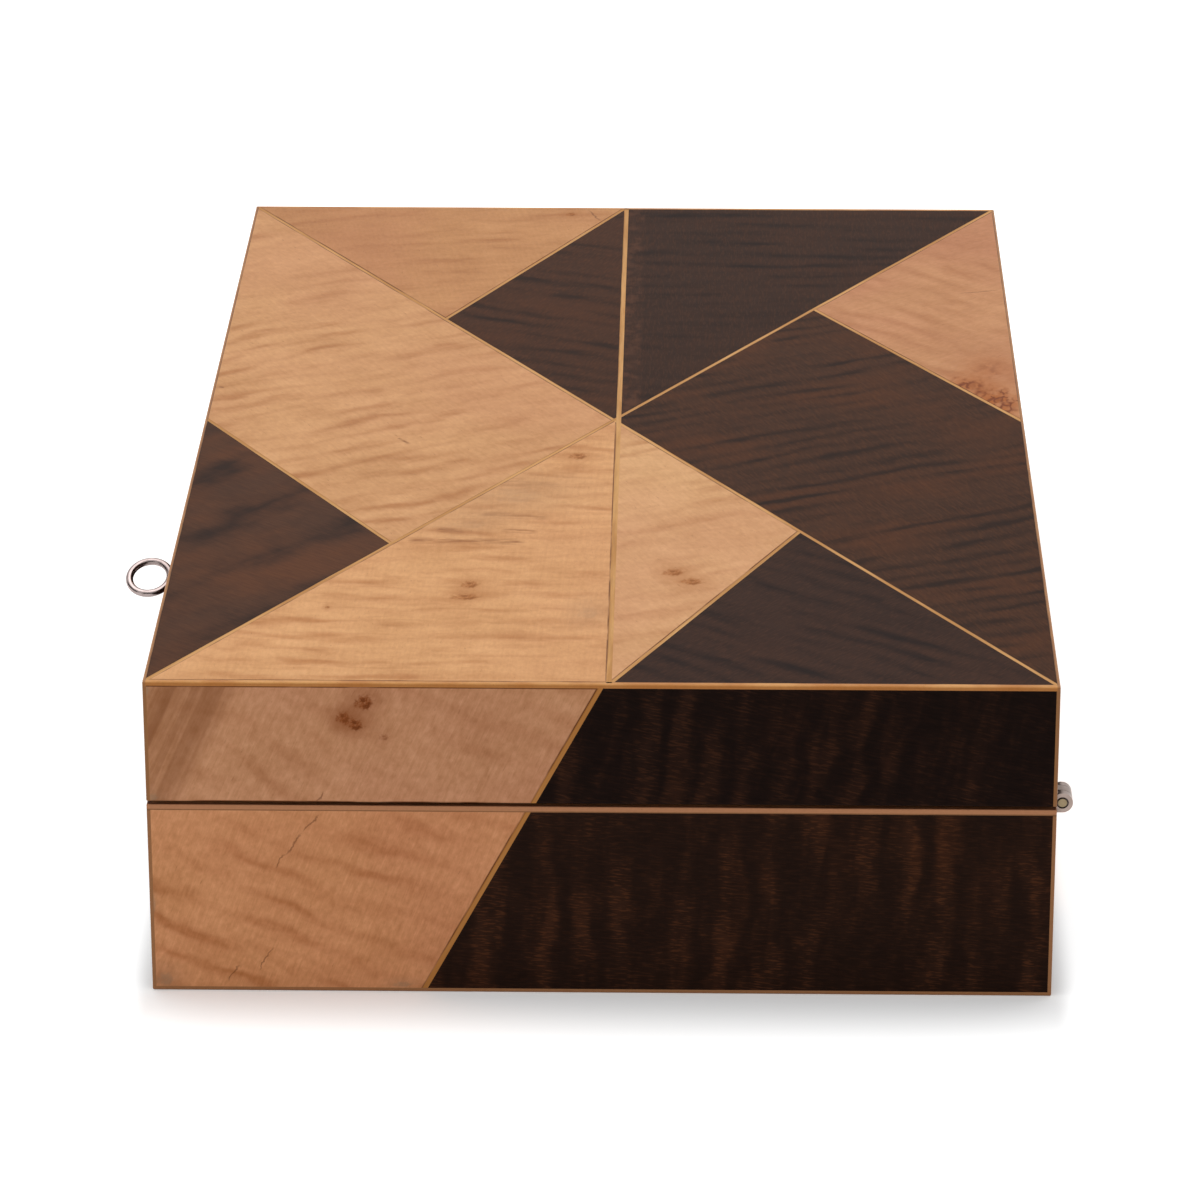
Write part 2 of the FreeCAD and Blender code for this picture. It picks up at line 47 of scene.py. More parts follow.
def spanOf(nodeName, axis):
    reach = [vertex.co[axis] for vertex in nodes[nodeName].data.vertices]
    return round(min(reach) * perMetre, 2), round(max(reach) * perMetre, 2)


halfWidth = spanOf("lid_edging", 0)[1]
halfLength = spanOf("lid_edging", 1)[1]
lidRim, boxHeight = spanOf("lid_edging", 2)
baseRim = spanOf("base_edging", 2)[1]
sheetHeights = {part: spanOf(part + "_near_end_pale_veneer", 2) for part in ("lid", "base")}
hingeAxis = frame["joints"][0]["pos_m"]
print("frame loaded,", len(nodes), "nodes, half width", halfWidth, "and half length", halfLength)


# short ways to build a node tree; tree is the one that is being built

tree = None


def beginTree(started):
    global tree
    tree = started


def feed(socket, value):
    if isinstance(value, bpy.types.NodeSocket):
        tree.links.new(value, socket)
    else:
        socket.default_value = value


def feedAll(node, feeds):
    for socket, value in feeds.items():
        feed(node.inputs[socket], value)


def addNode(kind, feeds=None, **settings):
    node = tree.nodes.new(kind)
    for name, value in settings.items():
        setattr(node, name, value)
    feedAll(node, feeds or {})
    return node


def made(kind, feeds=None, **settings):
    # the first output of a new node
    return addNode(kind, feeds, **settings).outputs[0]


def calc(operation, first, second=0.0, clamp=False):
    return made("ShaderNodeMath", {0: first, 1: second}, operation=operation, use_clamp=clamp)


def times(first, second, clamp=False):
    return calc("MULTIPLY", first, second, clamp)


def scaleAdd(value, factor, base):
    feeds = {0: value, 1: factor, 2: base}
    return made("ShaderNodeMath", feeds, operation="MULTIPLY_ADD")


def vectorCalc(operation, first, second=(0.0, 0.0, 0.0)):
    node = addNode("ShaderNodeVectorMath", {0: first, 1: second}, operation=operation)
    return node.outputs["Value"] if operation in ("DOT_PRODUCT", "LENGTH") else node.outputs[0]


def scaledBy(vector, amount):
    feeds = {0: vector, "Scale": amount}
    return made("ShaderNodeVectorMath", feeds, operation="SCALE")


def axesOf(vector):
    return addNode("ShaderNodeSeparateXYZ", {0: vector}).outputs


def joined(x=0.0, y=0.0, z=0.0):
    return made("ShaderNodeCombineXYZ", {0: x, 1: y, 2: z})


def fade(value, low, high, toLow=0.0, toHigh=1.0):
    feeds = {"Value": value, "From Min": low, "From Max": high, "To Min": toLow, "To Max": toHigh}
    return made("ShaderNodeMapRange", feeds, interpolation_type="SMOOTHSTEP")


def solidNoise(place, scale, detail, roughness=0.5, distortion=0.0):
    feeds = {"Vector": place, "Scale": scale, "Detail": detail}
    feeds.update({"Roughness": roughness, "Distortion": distortion})
    return made("ShaderNodeTexNoise", feeds)


noiseShift = (0.31, 0.67, 0.43)


def noise(place, stretch, detail=2.0, roughness=0.5, distortion=0.0):
    # stretch is the size of one cloud in millimetres, along and across
    scaled = vectorCalc("MULTIPLY", place, (1 / stretch[0], 1 / stretch[1], 1.0))
    shifted = vectorCalc("ADD", scaled, noiseShift)
    return solidNoise(shifted, 1.0, detail, roughness, distortion)


def faded(place, layer, toLow=0.0, toHigh=1.0):
    # a layer is the settings of its noise and the range over which that fades in
    settings, span = layer
    return fade(noise(place, *settings), *span, toLow, toHigh)


def centred(value):
    return calc("SUBTRACT", value, 0.5)


def anyOf(values):
    most = values[0]
    for value in values[1:]:
        most = calc("MAXIMUM", most, value)
    return most


def mix(factor, first, second, blend="MIX"):
    node = addNode("ShaderNodeMix", data_type="RGBA", blend_type=blend)
    feed(node.inputs[0], factor)
    feed(node.inputs[6], first)
    feed(node.inputs[7], second)
    return node.outputs[2]


def shaded(colour, layer, depth, base):
    # darker and lighter with a layer of noise
    return mix(1.0, colour, scaleAdd(layer, depth, base), "MULTIPLY")


def rgb(red, green, blue):
    # screen values 0 to 255 made linear
    def linear(value):
        share = value / 255
        return share / 12.92 if share <= 0.04045 else ((share + 0.055) / 1.055) ** 2.4
    return (linear(red), linear(green), linear(blue), 1.0)


def newMaterial(name):
    material = bpy.data.materials.new(name)
    material.use_nodes = True
    beginTree(material.node_tree)
    return material


def feedShader(feeds):
    feedAll(tree.nodes["Principled BSDF"], feeds)


def dress(colour, finish, sheen, relief):
    # the finish gives the roughness where the sheen layer is 0 and 1, the specular level and the bump
    low, high = finish["roughness"]
    strength, depth = finish["bump"]
    feedShader({
        "Base Color": colour,
        "Roughness": scaleAdd(sheen, high - low, low),
        "Specular IOR Level": finish["specular"],
        "Normal": made("ShaderNodeBump", {"Height": relief, "Strength": strength, "Distance": depth}),
    })


def objectPlace():
    return addNode("ShaderNodeTexCoord").outputs["Object"]


def inMillimetres():
    return scaledBy(objectPlace(), perMetre)


faceAcross = {"near": (0, 1.0), "far": (0, -1.0), "lock": (1, -1.0), "hinge": (1, 1.0)}


def facePlace(face):
    # the point on a face in millimetres, across and up as seen from outside
    place = inMillimetres()
    if face == "top":
        return vectorCalc("MULTIPLY", place, (1.0, 1.0, 0.0))
    axis, sign = faceAcross[face]
    parts = axesOf(place)
    return joined(times(parts[axis], sign), parts[2])


def linked(name, data):
    # a new object in the scene
    thing = bpy.data.objects.new(name, data)
    bpy.context.scene.collection.objects.link(thing)
    return thing


def setMaterial(material, *endings):
    # for every node whose name ends so
    for name, node in nodes.items():
        if name.endswith(endings):
            node.data.materials.clear()
            node.data.materials.append(material)


# where the pale lines run, in millimetres on the top and on the sides

lineLayout = {
    "nearMiddle": 2.5,
    "farMiddle": 0.7,
    "shortShare": 0.445,    # how far out on a diagonal the short end lines meet it
    "centreWidth": 1.7,
    "lineWidth": 1.4,
    "sideEdging": 1.0,
    "endEdging": 2.0,
    "sideWidth": 1.5,
    "endFoot": -55.6,       # where a slanting side line starts below and ends above
    "endHead": 0.6,
    "longFoot": -172.0,
    "longHead": 0.0,
}


def lineFrom(start, end, width):
    return {"start": start, "end": end, "width": width}


def onTop(x, y):
    # a point of the top by shares of its half width and half length
    return (x * halfWidth, y * halfLength)


def layTopLines(layout):
    width = layout["lineWidth"]
    side = layout["sideEdging"]
    end = layout["endEdging"]
    sideIn = 1 - side / 2 / halfWidth
    endIn = 1 - end / 2 / halfLength
    share = layout["shortShare"]
    nearMiddle = (layout["nearMiddle"], -halfLength)
    farMiddle = (layout["farMiddle"], halfLength)
    return {
        "centre": lineFrom(nearMiddle, farMiddle, layout["centreWidth"]),
        "rising": lineFrom(onTop(-1, -1), onTop(1, 1), width),
        "falling": lineFrom(onTop(-1, 1), onTop(1, -1), width),
        "lockShort": lineFrom(onTop(-1, 0), onTop(-0.5, -0.5), width),
        "hingeShort": lineFrom(onTop(1, 0), onTop(0.5, 0.5), width),
        "farShort": lineFrom(farMiddle, onTop(-share, share), width),
        "nearShort": lineFrom(nearMiddle, onTop(share, -share), width),
        "lockEdge": lineFrom(onTop(-sideIn, -1), onTop(-sideIn, 1), side),
        "hingeEdge": lineFrom(onTop(sideIn, -1), onTop(sideIn, 1), side),
        "nearEdge": lineFrom(onTop(-1, -endIn), onTop(1, -endIn), end),
        "farEdge": lineFrom(onTop(-1, endIn), onTop(1, endIn), end),
    }


def laySideLines(layout):
    lines = {}
    for face in faceAcross:
        kind = "end" if face in ("near", "far") else "long"
        foot = (layout[kind + "Foot"], 0.0)
        head = (layout[kind + "Head"], boxHeight)
        lines[face] = lineFrom(foot, head, layout["sideWidth"])
    return lines


topLines = layTopLines(lineLayout)
sideLines = laySideLines(lineLayout)


def besideSheet(part, face, look):
    # the lines beside a sheet; on the sides of the lid also its upper edge, and its lower edge, where the
    # darkening is painted shadow along the gap under the lid
    if part == "top":
        return [topLines[name] for name in look["beside"]]
    edges = sheetHeights["lid"] if part == "lid" else ()
    return [sideLines[face]] + [lineFrom((0.0, height), (1.0, height), 0.0) for height in edges]


def besideLine(place, line):
    # millimetres from the near edge of a line
    start = Vector(line["start"])
    along = (Vector(line["end"]) - start).normalized()
    across = Vector((-along.y, along.x))
    reach = vectorCalc("DOT_PRODUCT", place, (across.x, across.y, 0.0))
    away = calc("ABSOLUTE", calc("SUBTRACT", reach, across.dot(start)))
    return calc("SUBTRACT", away, line["width"] / 2)


def besideCrack(place, crack):
    # millimetres from a short straight crack
    start = crack["start"]
    span = Vector(crack["end"]) - Vector(start)
    fromStart = vectorCalc("SUBTRACT", place, (start[0], start[1], 0.0))
    share = vectorCalc("DOT_PRODUCT", fromStart, (span.x, span.y, 0.0))
    share = calc("DIVIDE", share, span.length_squared, clamp=True)
    nearest = scaledBy((span.x, span.y, 0.0), share)
    return vectorCalc("LENGTH", vectorCalc("SUBTRACT", fromStart, nearest))


# what both veneers share; turn is the way the ripples run, gap the width of one ripple in millimetres

rippleNoise = {"bend": ((75.0, 55.0), 1.5), "jitter": ((16.0, 12.0), 2.0)}
rippleLayers = {
    "region": (((40.0, 20.0), 2.0), (0.34, 0.66)),
    "short": (((24.0, 8.0), 2.0), (0.32, 0.62)),
}
rippleBreaks = {"length": 20.0, "share": 0.5, "noise": (2.5, 0.5, 0.5), "span": (0.4, 0.75)}
seedSteps = (311.0, 173.0, 7.3)


# each sheet's tones are multiplied by a factor that is partly the sheet's own tone and partly painted shade:
# on the pale top darker towards the far end, and on the sides of the dark wood darker than its top
def tinted(tones, look):
    red, green, blue = look["tint"]
    return {name: (tone[0] * red, tone[1] * green, tone[2] * blue, 1.0) for name, tone in tones.items()}


def woodPlace(look):
    # the point on the face, and the same point turned so that y runs along the grain
    place = facePlace(look["face"])
    feeds = {
        "Vector": place,
        "Location": [look["seed"] * step for step in seedSteps],
        "Rotation": (0.0, 0.0, -math.radians(look["turn"])),
    }
    return place, made("ShaderNodeMapping", feeds, vector_type="POINT")


def rippleOf(figure, look):
    # soft waves across the grain that bend, fade and break up
    gap = look["gap"]
    turns = calc("DIVIDE", axesOf(figure)[1], gap)
    for name, settings in rippleNoise.items():
        turns = scaleAdd(noise(figure, *settings), look[name], turns)
    wave = calc("SINE", times(turns, 2 * math.pi))
    wave = calc("POWER", scaleAdd(wave, 0.5, 0.5), look["sharp"])
    short = faded(figure, rippleLayers["short"], look["steady"])
    wave = times(times(wave, short), faded(figure, rippleLayers["region"]))
    wave = times(wave, look["wave"])
    size = (rippleBreaks["length"], gap * rippleBreaks["share"])
    broken = fade(noise(figure, size, *rippleBreaks["noise"]), *rippleBreaks["span"])
    return calc("ADD", wave, times(broken, look["broken"]), clamp=True)


# pale veneer

paleTones = {
    "light": rgb(216, 162, 113),
    "ripple": rgb(186, 128, 80),
    "pink": rgb(206, 146, 105),
    "fleck": rgb(142, 88, 46),
    "knot": rgb(160, 94, 36),
    "pit": rgb(116, 62, 10),
    "sideKnot": rgb(140, 74, 32),
    "sidePit": rgb(96, 44, 14),
    # the glue tone is also the painted shadow along the lower edge of the lid sheets
    "crack": rgb(92, 46, 22),
    "glue": rgb(94, 48, 16),
    "scuff": rgb(158, 126, 98),
    "burl": rgb(166, 92, 34),
    "burlVein": rgb(116, 52, 10),
}
paleDepths = {
    "top": {"grain": 0.14, "fine": 0.08, "broad": 0.34, "speckle": 0.28},
    "side": {"grain": 0.24, "fine": 0.2, "broad": 0.3, "speckle": 0.3},
}
# noise by the size of a cloud, its detail and its roughness
paleNoise = {
    "grain": ((1.1, 34), 3, 0.6),
    "fine": ((0.4, 6), 2, 0.6),
    "broad": ((26, 22), 3, 0.6),
    "speckle": ((1.5, 2.6), 2.5, 0.65),
    "mottle": ((2.2, 3.2), 2.5, 0.6),
    "sway": ((4, 4), 3),
}
paleLayers = {
    "cloud": (((85, 85), 2), (0.4, 0.7)),
    "fleck": (((0.8, 4.5), 2, 0.6), (0.66, 0.82)),
    "grainStreak": (((4, 120), 2.5, 0.55), (0.3, 0.66)),
    "rippleStreak": (((8, 1.8), 2.5, 0.55), (0.3, 0.66)),
    "ragged": (((3, 4.5), 2, 0.6), (0.36, 0.56)),
    "patchy": (((18, 18), 3), (0.36, 0.58)),
}
knotShape = {
    "wander": 1.4,
    "wobble": (0.8, 4, 0.6),
    "mottle": (0.28, 2, 0.6),
    "core": (1, 0.35),
    "coreMottle": (0.3, 0.55, 0.6, 1),
    "halo": (2.4, 0.4, 0),
    "pit": (0.85, 0.3),
    "pitMottle": (0.5, 0.64),
    "pitDepth": 0.6,
    "scuffDepth": 0.6,
}
burlShape = {
    "wander": 0.9,
    "mottle": (1.3, 1.8),
    "mottleNoise": (2.5, 0.6),
    "stain": (1.5, 0.3, 0),
    "stainMottle": (0.36, 0.6, 0.45, 1),
    "sway": (5, 8, 0),
    "stretch": 0.6,
    "vein": (0.24, 0.02),
    "veinIn": (0.2, 0.7),
}
crackShape = {"sway": (3.6, -1.2, 0.0), "thin": 0.4, "depth": 0.6}
fleckDepth = 0.45
brownPowers = (1.0, 1.3, 1.8)
# how far glue darkens beside a line; on the lower edge of the lid sheets this is painted shadow
paleGlueAndSeamShade = {"reach": (0.52, 0.08), "least": 0.3}
paleFinish = {"roughness": (0.38, 0.54), "specular": 0.08, "bump": (0.25, 0.0001), "grain": 0.5, "glue": 1.2}
paleUsual = {
    "tint": (1, 1, 1), "bend": 3, "jitter": 0.9, "sharp": 1.4, "steady": 0.25, "wave": 0.9,
    "broken": 0.35, "figure": 1, "pink": 0.45,
}


def browned(colour, shade):
    # darkens the blue most, so that dark places also turn brown
    feeds = {channel: calc("POWER", shade, power) for channel, power in enumerate(brownPowers)}
    return mix(1.0, colour, made("ShaderNodeCombineColor", feeds), "MULTIPLY")


def sizedNoise(local, knot, share, detail, roughness):
    # clouds that are a share of the knot's own size
    wide, tall = knot["size"]
    return noise(local, (wide * share, tall * share), detail, roughness)


def knotAway(place, knot, wander):
    # how far a point lies from the heart of a knot, 1 at its edge, and the point itself
    centre = knot["at"]
    wide, tall = knot["size"]
    feeds = {
        "Vector": vectorCalc("SUBTRACT", place, (centre[0], centre[1], 0.0)),
        "Rotation": (0.0, 0.0, -math.radians(knot.get("turn", 0.0))),
    }
    local = made("ShaderNodeMapping", feeds, vector_type="POINT")
    wobble = sizedNoise(local, knot, *knotShape["wobble"])
    away = vectorCalc("LENGTH", vectorCalc("MULTIPLY", local, (1 / wide, 1 / tall, 0.0)))
    return scaleAdd(centred(wobble), wander, away), local


def knotOf(place, knot):
    # shares of brown stain and dark pits round one small knot
    away, local = knotAway(place, knot, knotShape["wander"])
    mottle = sizedNoise(local, knot, *knotShape["mottle"])
    core = times(fade(away, *knotShape["core"]), fade(mottle, *knotShape["coreMottle"]))
    halo = fade(away, *knotShape["halo"], knot.get("halo", 0.3))
    depth = knot.get("depth", 1.0)
    stain = times(calc("MAXIMUM", core, halo), depth, clamp=True)
    pit = times(fade(away, *knotShape["pit"]), fade(mottle, *knotShape["pitMottle"]))
    return stain, times(pit, knotShape["pitDepth"] * depth, clamp=True)


def paleGround(place, figure, look):
    # the plain rippled wood, with the layers that also roughen it
    tones = tinted(paleTones, look)
    colour = mix(times(rippleOf(figure, look), look["figure"]), tones["light"], tones["ripple"])
    toward = faded(place, paleLayers["cloud"], 0.0, look["pink"])
    colour = mix(toward, colour, tones["pink"])
    depths = paleDepths["top" if look["face"] == "top" else "side"]
    layers = {name: noise(place if name == "broad" else figure, *paleNoise[name]) for name in depths}
    shade = 1.0 - sum(depths.values()) / 2
    for name, depth in depths.items():
        shade = scaleAdd(layers[name], depth, shade)
    colour = browned(colour, shade)
    fleck = faded(figure, paleLayers["fleck"], 0.0, fleckDepth)
    colour = mix(fleck, colour, tones["fleck"])
    if "mottle" in look:
        depth = look["mottle"]
        colour = browned(colour, scaleAdd(noise(figure, *paleNoise["mottle"]), depth, 1.0 - depth / 2))
    return colour, layers["grain"], layers["fine"]


def addStreak(colour, streak, place, figure, look):
    away = besideCrack(place, streak)
    worn = faded(figure, paleLayers[streak["along"] + "Streak"])
    share = times(fade(away, streak["width"], 0.0), worn)
    return mix(times(share, streak["depth"], clamp=True), colour, tinted(paleTones, look)["fleck"])


def addKnot(colour, knot, place, figure, look):
    brown, dark = ("knot", "pit") if look["face"] == "top" else ("sideKnot", "sidePit")
    stain, pit = knotOf(place, knot)
    colour = mix(stain, colour, paleTones[brown])
    return mix(pit, colour, paleTones[dark])


def addBurl(colour, burl, place, figure, look):
    # a reddish patch with ragged dark veins near its heart
    cell = burl["cell"]
    wide, tall = burlShape["mottle"]
    away, local = knotAway(place, burl, burlShape["wander"])
    mottle = noise(local, (cell * wide, cell * tall), *burlShape["mottleNoise"])
    stain = fade(away, *burlShape["stain"], burl["depth"])
    stain = times(stain, fade(mottle, *burlShape["stainMottle"]))
    colour = mix(stain, colour, paleTones["burl"])
    stirred = vectorCalc("ADD", local, scaledBy(burlShape["sway"], centred(mottle)))
    stirred = vectorCalc("MULTIPLY", stirred, (1 / cell, burlShape["stretch"] / cell, 0.0))
    feeds = {"Vector": stirred, "Scale": 1.0}
    cells = addNode("ShaderNodeTexVoronoi", feeds, feature="DISTANCE_TO_EDGE")
    vein = fade(cells.outputs["Distance"], *burlShape["vein"])
    ragged = faded(local, paleLayers["ragged"])
    vein = times(vein, times(ragged, fade(stain, *burlShape["veinIn"])))
    return mix(vein, colour, paleTones["burlVein"])


def addCrack(colour, crack, place, figure, look):
    # the crack wanders a little and thins towards its ends
    start = Vector(crack["start"])
    end = Vector(crack["end"])
    middle = (start + end) / 2
    half = (end - start).length / 2
    swing = centred(noise(place, *paleNoise["sway"]))
    bent = vectorCalc("ADD", place, scaledBy(crackShape["sway"], swing))
    fromMiddle = vectorCalc("LENGTH", vectorCalc("SUBTRACT", bent, (middle.x, middle.y, 0.0)))
    split = fade(besideCrack(bent, crack), crack["width"], 0.0)
    split = times(split, fade(fromMiddle, half, half * crackShape["thin"], 0.0, crackShape["depth"]))
    return mix(split, colour, paleTones["crack"])


def addScuff(colour, scuff, place, figure, look):
    stain = knotOf(place, scuff)[0]
    return mix(times(stain, knotShape["scuffDepth"]), colour, paleTones["scuff"])


paleMarks = {"streaks": addStreak, "knots": addKnot, "burls": addBurl, "cracks": addCrack, "scuffs": addScuff}


def paleVeneer(name, look):
    material = newMaterial(name)
    place, figure = woodPlace(look)
    colour, grain, fine = paleGround(place, figure, look)
    for kind, add in paleMarks.items():
        for each in look.get(kind, []):
            colour = add(colour, each, place, figure, look)
    # old glue darkens the wood in patches beside the lines; along the lower edge of the lid sheets the same
    # darkening is painted shadow of the gap under the lid
    seams = [fade(besideLine(place, line), *paleGlueAndSeamShade["reach"]) for line in look["beside"]]
    glue = times(anyOf(seams), faded(place, paleLayers["patchy"], paleGlueAndSeamShade["least"]))
    colour = mix(glue, colour, paleTones["glue"])
    relief = times(glue, paleFinish["glue"])
    relief = calc("SUBTRACT", times(grain, paleFinish["grain"]), relief)
    dress(colour, paleFinish, fine, relief)
    return material


# dark veneer

darkTones = {
    "light": rgb(84, 61, 49),
    "ripple": rgb(54, 41, 36),
    "brown": rgb(98, 66, 48),
    "red": rgb(102, 66, 48),
    "tick": rgb(128, 88, 62),
    # the glue tone is also the painted shadow along the lower edge of the lid sheets
    "glue": rgb(40, 28, 24),
}
darkGrain = ((0.8, 9.0), 3.0, 0.6)
darkLayers = {
    "cloud": (((55, 30), 2), (0.42, 0.72)),
    "tick": (((0.55, 4.2), 1.5, 0.6), (0.5, 0.64)),
    "worn": (((5, 7), 3), (0.4, 0.7)),
}
tickBetween = (1.0, 0.4, 0.15, 1.0)
stripDepths = (0.05, 0.5)
# how far glue darkens beside a line; on the lower edge of the lid sheets this is painted shadow
darkGlueAndSeamShade = {"reach": (0.35, 0.08), "depth": 0.6}
darkFinish = {"roughness": (0.38, 0.53), "specular": 0.02, "bump": (0.15, 0.0001)}
darkUsual = {
    "tint": (1, 1, 1), "bend": 1.8, "jitter": 0.5, "sharp": 1.4, "steady": 0.5, "wave": 0.9,
    "broken": 0.35, "brown": 0.8, "grain": 0.8, "ticks": 0.22, "lit": False,
}
# the sides take the dark wood of the top with darker tones: painted shade
darkSideUsual = {
    **darkUsual, "tint": (0.44, 0.33, 0.27), "bend": 1.5, "jitter": 1.1, "steady": 0.1, "wave": 1.0,
    "broken": 0.3, "grain": 0.9, "ticks": 0.6, "lit": True,
}


def addStrip(colour, place, strip):
    # a worn reddish strip along one side of a line
    share = fade(besideLine(place, strip["line"]), *strip["reach"])
    worn = faded(place, darkLayers["worn"], *stripDepths)
    side = vectorCalc("DOT_PRODUCT", place, (1.0, 0.0, 0.0))
    share = times(times(share, worn), fade(side, 0.0, 1.0))
    return mix(share, colour, darkTones["red"])


def darkVeneer(name, look):
    material = newMaterial(name)
    place, figure = woodPlace(look)
    ripple = rippleOf(figure, look)
    if look["lit"]:
        ripple = calc("SUBTRACT", 1.0, ripple)
    grain = noise(figure, *darkGrain)
    tones = tinted(darkTones, look)
    colour = mix(ripple, tones["light"], tones["ripple"])
    brown = times(faded(figure, darkLayers["cloud"]), calc("SUBTRACT", 1.0, ripple))
    brown = times(brown, look["brown"], clamp=True)
    colour = mix(brown, colour, tones["brown"])
    colour = shaded(colour, grain, look["grain"], 1.0 - look["grain"] / 2)
    # short light pores, most of them between the ripples
    tick = faded(figure, darkLayers["tick"], 0.0, look["ticks"])
    tick = times(tick, fade(ripple, *tickBetween))
    colour = mix(tick, colour, tones["tick"])
    if "strip" in look:
        colour = addStrip(colour, place, look["strip"])
    # glue darkens the wood beside the lines; along the lower edge of the lid sheets this is painted shadow of
    # the gap under the lid
    seams = [fade(besideLine(place, line), *darkGlueAndSeamShade["reach"]) for line in look["beside"]]
    colour = mix(times(anyOf(seams), darkGlueAndSeamShade["depth"]), colour, darkTones["glue"])
    dress(colour, darkFinish, grain, grain)
    return material


# the veneer sheets; places and sizes of their marks are in millimetres on the face

def wood(turn, gap, seed, **more):
    return {"turn": turn, "gap": gap, "seed": seed, **more}


def mark(start, end, width, depth, along="ripple"):
    return {"start": start, "end": end, "width": width, "depth": depth, "along": along}


def spot(at, size, **more):
    return {"at": at, "size": size, **more}


paleSheets = {
    # the top sheets are toned darker from the near end towards the far end: painted shade over each sheet's
    # own tone
    "top_lock_side": wood(
        28, 13, 1, wave=1, sharp=1.8, tint=(0.91, 0.89, 0.86),
        beside=["falling"],
        streaks=[mark((-72.5, -19), (-69, -24), 1, 0.9)],
        cracks=[lineFrom((-138, 31), (-136, 30), 0.8)],
    ),
    "top_near_left": wood(
        -2, 11, 2, sharp=1.6, bend=2, broken=0.45, pink=0.25, tint=(1, 0.98, 0.93),
        beside=["rising", "centre", "nearEdge"],
        knots=[
            spot((-43.2, -149.5), (4, 5), depth=0.85),
            spot((-44.2, -160), (6.4, 4.2), depth=0.85),
            spot((-11.4, -34.6), (4.4, 5), depth=0.8),
            spot((-87.2, -169.3), (1.1, 1.8), depth=0.8),
        ],
        scuffs=[
            spot((-32, -70), (16, 14), depth=0.5, halo=0.6),
            spot((-46, -97), (10, 8), depth=0.4, halo=0.6),
            spot((-5, -172), (5, 9), depth=0.5, halo=0.5),
        ],
        streaks=[
            mark((-54, -103), (-48, -104), 3, 1),
            mark((-33, -103), (-25, -104), 2.5, 0.9),
            mark((-62, -112), (-30, -113), 4, 0.8),
            mark((-35, -60), (-20, -62), 5, 0.4),
            mark((-40, -89), (-22, -91), 4, 0.5),
        ],
    ),
    "top_near_middle": wood(
        24, 12, 3, wave=0.85, pink=0.6, tint=(0.97, 1, 1),
        beside=["falling", "nearShort"],
        knots=[
            spot((21.4, -138.3), (4.8, 4.8), depth=0.85),
            spot((27.5, -146), (4.8, 4.8), depth=0.85, turn=-20),
        ],
    ),
    "top_hinge_corner": wood(
        -48, 12, 4, wave=0.6, pink=0.8, tint=(0.80, 0.72, 0.72),
        beside=["rising", "hingeShort"],
        burls=[
            spot((131, 20), (9, 16), depth=0.95, cell=3.6),
            spot((122, 34), (9, 14), depth=0.7, cell=5),
            spot((131, 50), (10, 18), depth=0.4, cell=8),
        ],
        cracks=[lineFrom((122, 133), (138, 137), 0.5)],
    ),
    "top_far_left": wood(
        9, 12, 5, wave=0.7, pink=0.6, tint=(0.77, 0.69, 0.60),
        beside=["falling", "farShort"],
        knots=[spot((-20.2, 222), (2.6, 3.4), depth=0.9)],
        cracks=[lineFrom((-13.9, 227.5), (-8.3, 213.1), 0.6)],
    ),
    "lid_near_end": wood(
        -24, 10, 21, figure=0.6, pink=0.6, mottle=0.36, tint=(0.86, 0.79, 0.86),
        knots=[
            spot((-72.4, 98.4), (4.2, 4.4), halo=0.4),
            spot((-78.8, 93.2), (3.2, 3.4), halo=0.35),
            spot((-75.3, 91), (4.2, 3.4), turn=-20, halo=0.4),
            spot((-66.4, 86.6), (2.2, 1.8), depth=0.5),
        ],
        streaks=[
            mark((-126, 106), (-146, 66), 18, 0.75, "grain"),
            mark((-114, 106), (-134, 65), 7, 0.4, "grain"),
        ],
        cracks=[lineFrom((-84.6, 68.4), (-87.2, 64), 0.4)],
        scuffs=[
            spot((-138, 66), (2.4, 2), halo=0.2),
            spot((-139, 102), (1.6, 3), halo=0.2),
        ],
    ),
    "base_near_end": wood(
        -21, 10, 22, bend=1.8, sharp=2.2, broken=0.25, wave=1.2, steady=0.55,
        pink=0.5, mottle=0.34, tint=(0.96, 0.82, 0.79),
        cracks=[
            lineFrom((-86.8, 61), (-92, 54), 0.4),
            lineFrom((-91.5, 54.6), (-98, 46), 0.45),
            lineFrom((-97.4, 47.3), (-100.6, 41.6), 0.35),
            lineFrom((-101.6, 15.4), (-107.2, 6.4), 0.4),
            lineFrom((-112.6, 9.4), (-116.4, 2.6), 0.4),
        ],
        scuffs=[
            spot((-136, 4), (4, 4), halo=0.35),
            spot((-62, 2.6), (4, 1.6), halo=0.3),
            spot((-139, 30), (1.2, 5), halo=0.2),
        ],
    ),
    "lid_far_end": wood(16, 11, 23, figure=0.8),
    "base_far_end": wood(20, 10, 24, figure=0.9),
    "lid_lock_side": wood(72, 11, 25, figure=0.85),
    "base_lock_side": wood(76, 10, 26, figure=0.9),
    "lid_hinge_side": wood(98, 11, 27, figure=0.85),
    "base_hinge_side": wood(102, 10.5, 28, figure=0.9),
}
